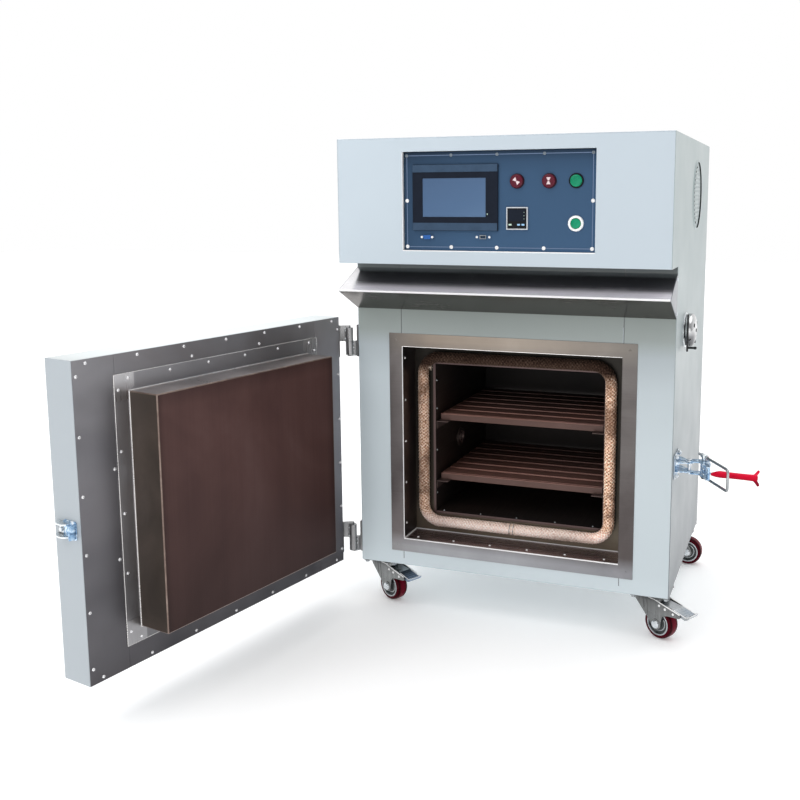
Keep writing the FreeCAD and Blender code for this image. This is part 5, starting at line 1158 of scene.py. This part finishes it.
p.add(lathe([(0, 0), (3.3, 0), (3.0, 1.2), (2.6, 14.0), (3.5, 16.6), (3.3, 19.6), (1.6, 20.8), (0, 20.8)], 24), 2, aim(390.6, 120.5, 666, (1, 0, 0)))
p.add(hex_head(8.0, 2.6), 0, aim(405.2, 160, 702, (1, 0, 0), 10))
p.done()

# ------------------------------------------------------------------ hinges
def leaf_extra(p, plate_y, zs):
    for zc in zs:
        for y in plate_y:
            for dz in (-26, 26):
                p.add(pan_head(4.4, 2.2), 1, aim(-387, y, zc + dz, (-1, 0, 0)))


def weld(p, x, y, z0, z1, seed):
    """A run of weld beads up a joint; about one bead in three takes the brighter zinc, a painted glint."""
    r = random.Random(seed)
    z = z0 + 1.0
    while z < z1 - 0.6:
        bm = bmesh.new()
        bmesh.ops.create_icosphere(bm, subdivisions=2, radius=r.uniform(1.5, 2.4))
        p.add(bm, r.choice((0, 0, 2)), Matrix.Translation((x + r.uniform(-0.5, 0.5), y + r.uniform(-0.5, 0.5), z)))
        z += r.uniform(1.5, 2.4)


def cabinet_leaf_extra(p):
    leaf_extra(p, (16, 34), (662.7, 166.6))
    for i, zc in enumerate((662.7, 166.6)):
        weld(p, -392.5, -3.8, zc - 35, zc - 0.8, 20 + i)


dress("hinge_cabinet_leaves", [M_HINGE, M_SCREW, M_ZINC_GLINT], 0.8, 3, cabinet_leaf_extra)

# ------------------------------------------------------------------ door, drawn closed and set open
hinge = Vector((-0.401, -0.0081, 0.0))
SWING = Matrix.Translation(hinge) @ Matrix.Rotation(rad(-101.63), 4, "Z") @ Matrix.Translation(-hinge)

p = simple("door_shell_skin", "door_shell", [M_PAINT_DOOR_SHADED, M_DOOR_TOP_LIT], xf=SWING)
p.add(pbox(-380, 380, -96.2, -94.7, 109.4, 723.6, 0.7, 3))
p.add(pbox(-380, -378.5, -95.5, -24, 109.4, 723.6, 0.5, 2))
p.add(pbox(378.5, 380, -95.5, -24, 109.4, 723.6, 0.5, 2))
# the top strip takes the lighter top paint: painted light
p.add(pbox(-379, 379, -95.5, -24, 722.1, 723.6, 0.5, 2), 1)
p.add(pbox(-379, 379, -95.5, -24, 109.4, 110.9, 0.5, 2))
p.done()

p = simple("door_inner_sheet_skin", "door_inner_sheet", [M_DOOR_SHEET, M_GLINT_EDGE], xf=SWING)
p.add(pbox(-379.2, 379.2, -24, -22.9, 110.2, 722.8, 0.4, 2))
p.add(pbox(-379.2, -288.6, -23.2, -22.4, 110.2, 722.8, 0.3, 2))
p.add(pbox(289.0, 379.2, -23.2, -22.4, 110.2, 722.8, 0.3, 2))
p.add(pbox(-288.0, 288.4, -23.2, -22.5, 110.2, 722.8, 0.3, 2))
p.done()

p = simple("door_plug_flange_skin", "door_plug_flange", [M_DOOR_FLANGE, M_DOOR_TAB, M_GLINT_EDGE], xf=SWING)
p.add(ring_plate((-292, 292, 154.5, 684.5), (-257, 257, 183.4, 649.6), -22.5, -21, 0.4), 0)
for sx in (-1, 1):
    for sz in (-1, 1):
        cx, cz = sx * 291.6, (684.1 if sz > 0 else 154.9)
        q = [(cx, cz), (cx - sx * 46, cz), (cx - sx * 46, cz - sz * 27), (cx - sx * 33, cz - sz * 33), (cx - sx * 33, cz - sz * 50), (cx, cz - sz * 50)]
        p.add(prism(q, "XZ", -21.2, -20.5, 0.25), 1)
# bright steel tubes round the flange edges: painted highlights
for a, b in (((-292, 154.8), (-292, 684.2)), ((292, 154.8), (292, 684.2)), ((-292, 684.3), (292, 684.3)), ((-292, 154.7), (292, 154.7))):
    p.add(tube([(a[0], -21.3, a[1]), (b[0], -21.3, b[1])], 0.8, 8), 2)
p.done()

p = simple("door_plug_skin", "door_plug", [M_PLUG, M_PLUG_EDGE, M_PLUG_SIDE_SHADED, M_PLUG_TOP_LIT, M_GLINT_EDGE], xf=SWING)
block = bmesh.new()
v = [block.verts.new((x, y, z)) for x in (-257.5, 257.5) for y in (-21.2, 53.4) for z in (183, 650)]
for f in ((0, 1, 3, 2), (4, 6, 7, 5), (0, 4, 5, 1), (2, 3, 7, 6), (0, 2, 6, 4), (1, 5, 7, 3)):
    block.faces.new([v[i] for i in f])
bevel_sharp(block, 2.2, 3)
block.normal_update()
# faces sorted by direction: front face, top in the lighter copy (painted light), sides and bottom in the dark copy
# (painted shade), bevels in the edge steel
for f in block.faces:
    n = f.normal
    f.material_index = 0 if n.y > 0.99 else 3 if n.z > 0.99 else 2 if (abs(n.x) > 0.99 or n.z < -0.99) else 1
p.add(block, None)
# bright steel tubes round the plug's base: painted highlights
for a, b in (((-258.2, 183), (-258.2, 650)), ((258.2, 183), (258.2, 650)), ((-258, 650.6), (258, 650.6)), ((-258, 182.4), (258, 182.4))):
    p.add(tube([(a[0], -20.4, a[1]), (b[0], -20.4, b[1])], 1.2, 8), 4)
p.done()

edge_z = [142.0 + 110.4 * i for i in range(6)]
edge_x = [-351.0 + 117.0 * i for i in range(7)]
border = [(sx * 372.5, z) for sx in (-1, 1) for z in edge_z] + [(x, z) for x in edge_x for z in (119.0, 715.5)]
border += [(97.0, 693.5), (-99.0, 693.5), (299.5, 508.0), (299.5, 332.0)]
studs = [(sx * 283.0, z) for sx in (-1, 1) for z in (182.0, 299.5, 417.5, 538.0, 655.0)]
studs += [(x, z) for x in (-264.0, -157.5, -53.0, 53.0, 156.0, 259.0) for z in (163.5, 675.0)]
p = simple("door_screws_skin", "door_screws", [M_DOOR_SCREW], xf=SWING)
for i, (x, z) in enumerate(border):
    p.add(pan_head(3.4, 2.6), 0, aim(x, -22.5, z, (0, 1, 0), 17 * i))
for i, (x, z) in enumerate(studs):
    p.add(rivet(3.3, 2.0), 0, aim(x, -20.9, z, (0, 1, 0)))
p.done()

p = simple("strike_hook_skin", "strike_hook", [M_ZINC, M_SCREW, M_LATCH, M_ZINC_GLINT, M_ROD], xf=SWING)
p.add(prism([(-70, 394), (-66, 391), (-36, 391), (-33.6, 394), (-33.6, 424), (-36, 427), (-66, 427), (-70, 424)], "YZ", 380.0, 382.5, 0.8, 3), 2)
hook = [(382.0, -48.0), (382.5, -42.0), (386.0, -36.6), (394.0, -36.0), (396.8, -37.6), (397.0, -33.9), (392.0, -33.6), (384.0, -33.6), (380.2, -38.0), (380.2, -48.0)]
p.add(prism(hook, "XY", 395.0, 423.0, 0.5, 2), 2)
ear = [(380.2, -87.0), (384.5, -88.0), (388.0, -85.5), (392.0, -80.5), (395.0, -74.5), (396.5, -67.0), (396.3, -61.0), (395.2, -56.0), (392.6, -52.0), (389.0, -49.6), (380.2, -48.4)]
# ears in the brighter zinc: painted highlights
for s_ in (-1, 1):
    z0, z1 = (10.6, 13.6) if s_ > 0 else (-13.6, -10.6)
    p.add(prism(ear, "XY", 409 + z0, 409 + z1, 0.5, 2, 35), 3)
p.add(prism([(382.2, -62), (387, -59), (388.5, -54), (388.0, -50.2), (382.2, -49.0)], "XY", 398.6, 419.4, 0.6, 2, 35), 2)
p.add(pbox(380.1, 381.2, -86.0, -66.0, 399.0, 419.0, 0.3), 4)
for y in (-57.0, -74.0):
    p.add(hex_head(8.4, 3.6, 0.4), 1, aim(382.7, y, 409 - 1.5, (1, 0, 0), 15))
p.done()

CLOSED = SWING.inverted()
src = NODES["hinge_door_leaves"].data
bm = bmesh.new()
bm.from_mesh(src)
bm.transform(Matrix.Scale(1 / MM, 4) @ CLOSED)
bmesh.ops.remove_doubles(bm, verts=bm.verts, dist=0.002)
bmesh.ops.dissolve_limit(bm, angle_limit=rad(1.0), verts=bm.verts, edges=bm.edges)
bevel_sharp(bm, 0.8, 3, 30.0)
p = simple("hinge_door_leaves_skin", "hinge_door_leaves", [M_HINGE, M_SCREW, M_ZINC_GLINT], xf=SWING)
p.add(bm)
leaf_extra(p, (-56, -38), (662.7, 166.6))
for i, zc in enumerate((662.7, 166.6)):
    weld(p, -393.6, -14.1, zc + 0.4, zc + 36, 30 + i)
p.done()

# ------------------------------------------------------------------ toggle latch
ZC = 409.0
cheek = [(382.5, 24), (390, 25), (398, 27), (406, 29.5), (415, 32), (420, 35.5), (422, 40), (421.4, 45.5), (417, 51), (406, 60), (397, 72), (391, 80), (382.5, 86)]
p = simple("clamp_base_skin", "clamp_base", [M_ZINC, M_LATCH, M_SCREW])
p.add(pbox(380, 382.5, 18, 92, 382, 436, 1.0, 3))
for s in (-1, 1):
    z0, z1 = (9, 11.5) if s > 0 else (-11.5, -9)
    p.add(prism(cheek, "XY", ZC + z0, ZC + z1, 0.6, 2, 35), 1)
    p.add(lathe([(4, 11.5), (4, 15.2), (5.4, 15.2), (6.0, 15.7), (6.0, 16.6), (5.0, 17.2), (0, 17.2)], 28), 2, Matrix.Translation((412, 42, ZC)) @ (Matrix.Identity(4) if s > 0 else Matrix.Rotation(pi, 4, "X")))
p.add(lathe([(0, -9), (4, -9), (4, 9), (0, 9)], 28), 2, Matrix.Translation((412, 42, ZC)))
p.add(pbox(382.5, 385.0, 30, 80, ZC - 9, ZC + 9, 0.6), 1)
for y, dz in ((31, -21), (31, 21), (80, -21), (80, 21)):
    p.add(hex_head(9.6, 4.6, 0.5), 2, aim(383.0, y, ZC + dz, (1, 0, 0), 12))
    p.add(lathe([(2.6, 4.4), (2.6, 6.4), (2.0, 7.0), (0, 7.0)], 18), 2, aim(383.0, y, ZC + dz, (1, 0, 0)))
p.done()

plate = [(403, 38), (403.4, 44.5), (405, 50), (408.4, 52.4), (412, 53), (426, 56.4), (440, 60), (446, 60), (452, 58), (455.4, 53.4), (455, 48), (457.5, 38), (460, 24), (461, 8.7), (461, -6.3), (457, -6.6), (454, -6.3), (449, 3), (444, 10.7), (440, 20), (434, 31), (425, 31.4), (416, 31), (408, 33)]
p = simple("clamp_handle_skin", "clamp_handle", [M_LATCH, M_SCREW, M_ZINC_GLINT, M_ROD])
for s_ in (-1, 1):
    z0, z1 = (12.2, 14.9) if s_ > 0 else (-14.9, -12.2)
    flip = Matrix.Translation((444, 50, ZC)) @ (Matrix.Identity(4) if s_ > 0 else Matrix.Rotation(pi, 4, "X"))
    p.add(prism(plate, "XY", ZC + z0, ZC + z1, 0.7, 2, 35), 0)
    p.add(lathe([(4, 14.9), (4, 19.9), (0, 19.9)], 24), 1, flip)
    p.add(lathe([(6.4, 14.6), (6.4, 15.0), (4.2, 15.1)], 24), 1, flip)
p.add(prism([(454, -6.3), (461, -6.3), (461, 8.7), (457, 8.7)], "XY", ZC - 12.4, ZC + 12.4, 0.8, 2), 0)
web = [(437, 27.7), (445.5, 10.7), (454, -6.3), (456.8, -6.3), (448.5, 11), (440, 27.7)]
p.add(prism(web, "XY", ZC - 12.3, ZC + 12.3, 0.6, 2, 35), 0)
# two ridges in the brighter zinc: painted highlights
for dz in (-5.5, 5.5):
    p.add(prism([(439.4, 19.0), (446.0, 5.6), (448.2, 6.6), (441.8, 20.0)], "XY", ZC + dz - 1.6, ZC + dz + 1.6, 0.7, 2), 2)
tilt = Matrix.Translation((462, 0.7, ZC)) @ Matrix.Rotation(rad(-4.3), 4, "Z")
p.add(pbox(-4, 12, -1.8, 1.8, -1.5, 1.5, 0.3), 0, tilt)
p.add(pbox(12, 98, -2.4, 2.4, -4.4, 4.4, 0.4), 0, tilt)
p.done()


def grip_mesh():
    """A dipped sleeve: rounded bar with a fuller root, ending in two spread prongs."""
    bm = bmesh.new()
    segs = 28

    def loft(stations):
        rings = []
        for c, hy, hz, lean in stations:
            ring = []
            u = Vector((cos(lean), 0, sin(lean)))
            w = Vector((-sin(lean), 0, cos(lean)))
            for k in range(segs):
                a = 2 * pi * k / segs
                cy, cz = cos(a), sin(a)
                y = hy * math.copysign(abs(cy) ** 0.78, cy)
                z = hz * math.copysign(abs(cz) ** 0.78, cz)
                ring.append(bm.verts.new(Vector(c) + Vector((0, y, 0)) + w * z))
            rings.append(ring)
        for A, B in zip(rings, rings[1:]):
            for k in range(segs):
                j = (k + 1) % segs
                bm.faces.new((A[k], A[j], B[j], B[k]))
        bm.faces.new(rings[0][::-1])
        bm.faces.new(rings[-1])

    loft([((0.6, 0, -1.6), 2.0, 2.2, 0), ((2.0, 0, -1.5), 3.0, 3.3, 0), ((6, 0, -1.2), 4.3, 4.6, 0), ((12, 0, -0.6), 5.6, 6.2, 0), ((19, 0, 0), 6.3, 7.4, 0), ((26, 0, 0), 6.3, 7.5, 0), ((40, 0, 0), 5.9, 6.8, 0), ((60, 0, 0), 5.9, 6.8, 0), ((80, 0, 0), 5.9, 6.9, 0),
          ((90, 0, 0), 5.7, 7.4, 0), ((94.5, 0, 0), 5.3, 7.6, 0), ((97.5, 0, 0), 4.6, 6.6, 0), ((99.6, 0, 0), 3.0, 4.2, 0)])
    for s_ in (-1, 1):
        q = s_ * rad(58)
        loft([((90.0, 0, s_ * 1.6), 4.8, 3.6, q), ((94.2, 0, s_ * 6.0), 5.0, 3.6, q), ((97.6, 0, s_ * 10.6), 5.0, 3.3, q), ((100.0, 0, s_ * 14.2), 4.8, 3.1, q), ((101.2, 0, s_ * 16.2), 3.9, 2.5, q), ((101.7, 0, s_ * 17.0), 2.2, 1.4, q)])
    return bm


p = simple("clamp_grip_skin", "clamp_grip", [M_RED], smooth=60)
p.add(grip_mesh(), 0, tilt)
p.done()

BAIL = Matrix.Translation((0.444, 0.050, 0.409)) @ Matrix.Rotation(rad(-59.4), 4, "Z")
p = simple("clamp_ubolt_skin", "clamp_ubolt", [M_ROD, M_ZINC_GLINT, M_SCREW, M_HUB_DARK], xf=BAIL)
rod = rounded([(-27, 0, 23.5), (113.9, 0, 23.5), (113.9, 0, -23.5), (-27, 0, -23.5)], 9.0, 8)
p.add(tube(rod, 3.0, 18), 0)
for s in (-1, 1):
    for k in range(34):
        x = -26 + k * 1.25
        if 7.0 > x > -7.0:
            continue
        p.add(lathe([(3.0, -0.3), (3.32, 0), (3.0, 0.3)], 16), 0, aim(x, 0, s * 23.5, (1, 0, 0)))
    # upper end cap in the brighter zinc (painted highlight), lower end cap in dark grey (painted shade)
    p.add(lathe([(4.1, 15.4), (6.0, 15.4), (6.5, 16.0), (6.5, 26.8), (5.9, 27.4), (0, 27.4), (0, 20.2), (4.1, 20.2)], 30), 1 if s > 0 else 3, Matrix.Identity(4) if s > 0 else Matrix.Rotation(pi, 4, "X"))
    for x in (-14, 9):
        p.add(hex_head(9.6, 5.0), 2, aim(x, 0, s * 23.5, (1, 0, 0), 11))
p.done()

# ------------------------------------------------------------------ casters
def droop(points):
    """A pedal outline leaned down about its pin."""
    c, t = cos(rad(9)), sin(rad(9))
    return [(36 + (x - 36) * c + (z - 84) * t, 84 - (x - 36) * t + (z - 84) * c) for x, z in points]


def plate_set():
    p = simple("caster_plates_skin", "caster_plates", [M_PLATE_SHADOW, M_ZINC_GREY])
    for sx in (-1, 1):
        for y in (50.0, 535.0):
            cx = sx * 336.0
            p.add(pbox(cx - 44, cx + 44, y - 44, y + 44, 104, 108, 1.0, 2))
            p.add(lathe([(5.3, 99.5), (24, 99.5), (26.4, 100.2), (27, 101.6), (26.4, 103), (25, 104), (5.3, 104)], 44, True), 0, Matrix.Translation((cx, y, 0)))
            for dx in (-37, 37):
                for dy in (-35, 35):
                    p.add(hex_head(10.5, 6.2, 0.4), 1, aim(cx + dx, y + dy, 103.8, (0, 0, -1), 9))
    p.done()


plate_set()

tip = [(28 + 13 * cos(rad(d)), 37.5 + 13 * sin(rad(d))) for d in (8, -8, -26, -44, -62, -80, -98, -116, -134, -152, -168)]
CHEEK = [(-32, 95.6), (-32, 84)] + tip[::-1] + [(41.6, 48), (43.0, 56), (46.5, 60.8), (52, 63.6), (60, 65.6), (70, 66.8), (82, 67.8), (89, 68.6), (92.6, 70.6), (93.8, 73.6), (92.0, 78.4), (78, 81.8), (60, 86.0), (44, 89.8), (30, 93.4), (20, 95.6)]
BARE = [(-32, 95.6), (-32, 84)] + tip[::-1] + [(40.2, 44), (37, 50), (33, 57), (29, 64), (25.4, 72), (22, 80), (19, 95.6)]
TOP_EDGE = [(-30, 95.4), (4, 95.6), (20, 95.2), (30, 93.0), (44, 89.4), (60, 85.6), (78, 81.4), (91.4, 78.0)]
for tag, sx, y, deg in (("fl", -1, 50.0, -27.0), ("fr", 1, 50.0, -28.0), ("rl", -1, 535.0, 15.0), ("rr", 1, 535.0, -4.0)):
    seat = Matrix.Translation((sx * 0.336, y * MM, 0)) @ Matrix.Rotation(rad(deg), 4, "Z")
    p = simple("caster_fork_%s_skin" % tag, "caster_fork_" + tag, [M_FORK, M_SCREW, M_WHITE_AND_HIGHLIGHT, M_HUB_DARK], xf=seat)
    p.add(prism([(-32, -21.5), (22, -21.5), (30, -16), (30, 16), (22, 21.5), (-32, 21.5)], "XY", 95.0, 99.2, 1.4, 3), 0)
    for s_ in (-1, 1):
        a, b = (19.0, 21.5) if s_ > 0 else (-21.5, -19.0)
        p.add(prism(CHEEK if tag[0] == "f" else BARE, "XZ", a, b, 0.8, 2, 35), 0)
        out = s_ * 21.5
        # near-white tubes along the top edges of the cheeks: painted highlights
        p.add(tube([(u, s_ * 20.6, w) for u, w in (TOP_EDGE if tag[0] == "f" else TOP_EDGE[:2])], 1.35, 10), 2)
        for x0, x1, z0 in ((-24.0, -20.5, 74.0), (-14.0, -10.0, 66.0), (-3.0, 1.0, 52.0)):
            p.add(prism([(x0, 93.0), (x1, 93.0), (x1 + 4.0, z0), (x0 + 4.6, z0)], "XZ", out - 0.3 if s_ > 0 else out - 0.9, out + 0.9 if s_ > 0 else out + 0.3, 0.5, 2), 0)
        p.add(lathe([(12.2, 0), (12.2, 1.0), (11.4, 1.6), (0, 1.6)], 30), 0, aim(28, out, 37.5, (0, s_, 0)))
        p.add(lathe([(9.4, 1.4), (9.4, 3.4), (8.4, 4.8), (6.0, 5.6), (0, 5.8)], 30), 1, aim(28, out, 37.5, (0, s_, 0)))
        p.add(hex_head(7.0, 1.6), 1, aim(28, out + s_ * 5.0, 37.5, (0, s_, 0), 20))
        # near-white rivet heads: painted highlights
        if tag[0] == "f":
            for x, z in ((36, 84), (52, 80), (74, 75)):
                p.add(rivet(3.0, 1.7), 2, aim(x, out, z, (0, s_, 0)))
    p.add(lathe([(0, -19), (6, -19), (6, 19), (0, 19)], 30), 1, aim(28, 0, 37.5, (0, 1, 0)))
    p.add(lathe([(5.2, 99.2), (5.2, 106.2), (0, 106.2)], 24), 1)
    p.add(lathe([(0, 90.6), (7.0, 90.6), (8.4, 92), (8.4, 95.0)], 24), 1)
    if tag[0] == "f":
        p.add(lathe([(0, -19), (3, -19), (3, 19), (0, 19)], 20), 1, aim(36, 0, 84, (0, 1, 0)))
    p.done()

    hub = seat @ Matrix.Translation((0.028, 0, 0.0375)) @ Matrix.Rotation(rad(90), 4, "X")
    p = simple("caster_wheel_%s_skin" % tag, "caster_wheel_" + tag, [M_TYRE, M_TYRE_DARK, M_HUB, M_HUB_DARK], xf=hub)
    tread = [(28.6, -15.6), (31.5, -15.9), (34.0, -15.0), (35.8, -13.0), (36.9, -10.4), (37.4, -7.0), (37.5, 0), (37.4, 7.0), (36.9, 10.4), (35.8, 13.0), (34.0, 15.0), (31.5, 15.9), (28.6, 15.6), (27.6, 13.0), (27.6, -13.0)]
    p.add(lathe(tread, 72, True), 0)
    for s in (-1, 1):
        flip = Matrix.Identity(4) if s > 0 else Matrix.Rotation(pi, 4, "X")
        p.add(lathe([(28.9, 12.8), (28.9, 15.2), (27.8, 15.9), (25.8, 15.9), (24.6, 14.4), (23.6, 10.2), (23.6, 9.0), (28.4, 9.0)], 60, True), 2, flip)
        p.add(lathe([(23.8, 9.4), (21.5, 9.8), (15.5, 11.4), (13.4, 13.0), (13.0, 15.4), (8.0, 15.5), (6.1, 15.5), (6.1, 6.0), (23.8, 6.0)], 48, True), 3, flip)
        p.add(lathe([(18.6, 10.9), (18.9, 11.5), (17.4, 11.9), (16.6, 11.3)], 48, True), 2, flip)
    p.done()

    if tag[0] == "f":
        # the front-left tread takes the darker copy with painted shade and highlight
        tread_mat = M_PEDAL_PAINTED_LIGHT if tag == "fl" else M_PEDAL
        p = simple("brake_pedal_%s_skin" % tag, "brake_pedal_" + tag, [tread_mat, M_ZINC_BLUE, M_WHITE_AND_HIGHLIGHT], xf=seat)
        p.add(prism(droop([(29, 80.6), (29, 87.5), (31, 88.6), (72, 89.6), (72, 82.6), (40, 81.1)]), "XZ", -16.5, 16.5, 0.8, 2, 30), 1)
        side = [(70, 82.5), (88, 80.9), (104, 79.0), (108, 80.4), (112, 84.2), (115, 90.3), (113.4, 91.4), (111, 88.6), (107, 86.4), (90, 87.8), (70, 90)]
        p.add(prism(droop(side), "XZ", -18.4, 18.4, 1.0, 3, 30), 0)
        # near-white rims along the tread's sides and end: painted highlights
        for s_ in (-1, 1):
            rim = droop([(74, 89.6), (90, 88.0), (106, 86.6), (110, 88.6), (113, 91.0)])
            p.add(tube([(u, s_ * 17.4, w) for u, w in rim], 0.9, 8), 2)
        ends = droop([(113.6, 90.6)])[0]
        p.add(tube([(ends[0], -17.4, ends[1]), (ends[0], 17.4, ends[1])], 0.9, 8), 2)
        for k in range(4):
            x = 78 + k * 7.0
            lo, hi = droop([(x, 88.0)])[0], droop([(x + 2.4, 88.0)])[0]
            p.add(prism(droop([(x, 87.0), (x + 2.4, 86.8), (x + 2.2, 89.9 - (x - 70) * 0.075), (x + 0.2, 90.1 - (x - 70) * 0.075)]), "XZ", -13, 13, 0.4, 2), 0)
        p.done()
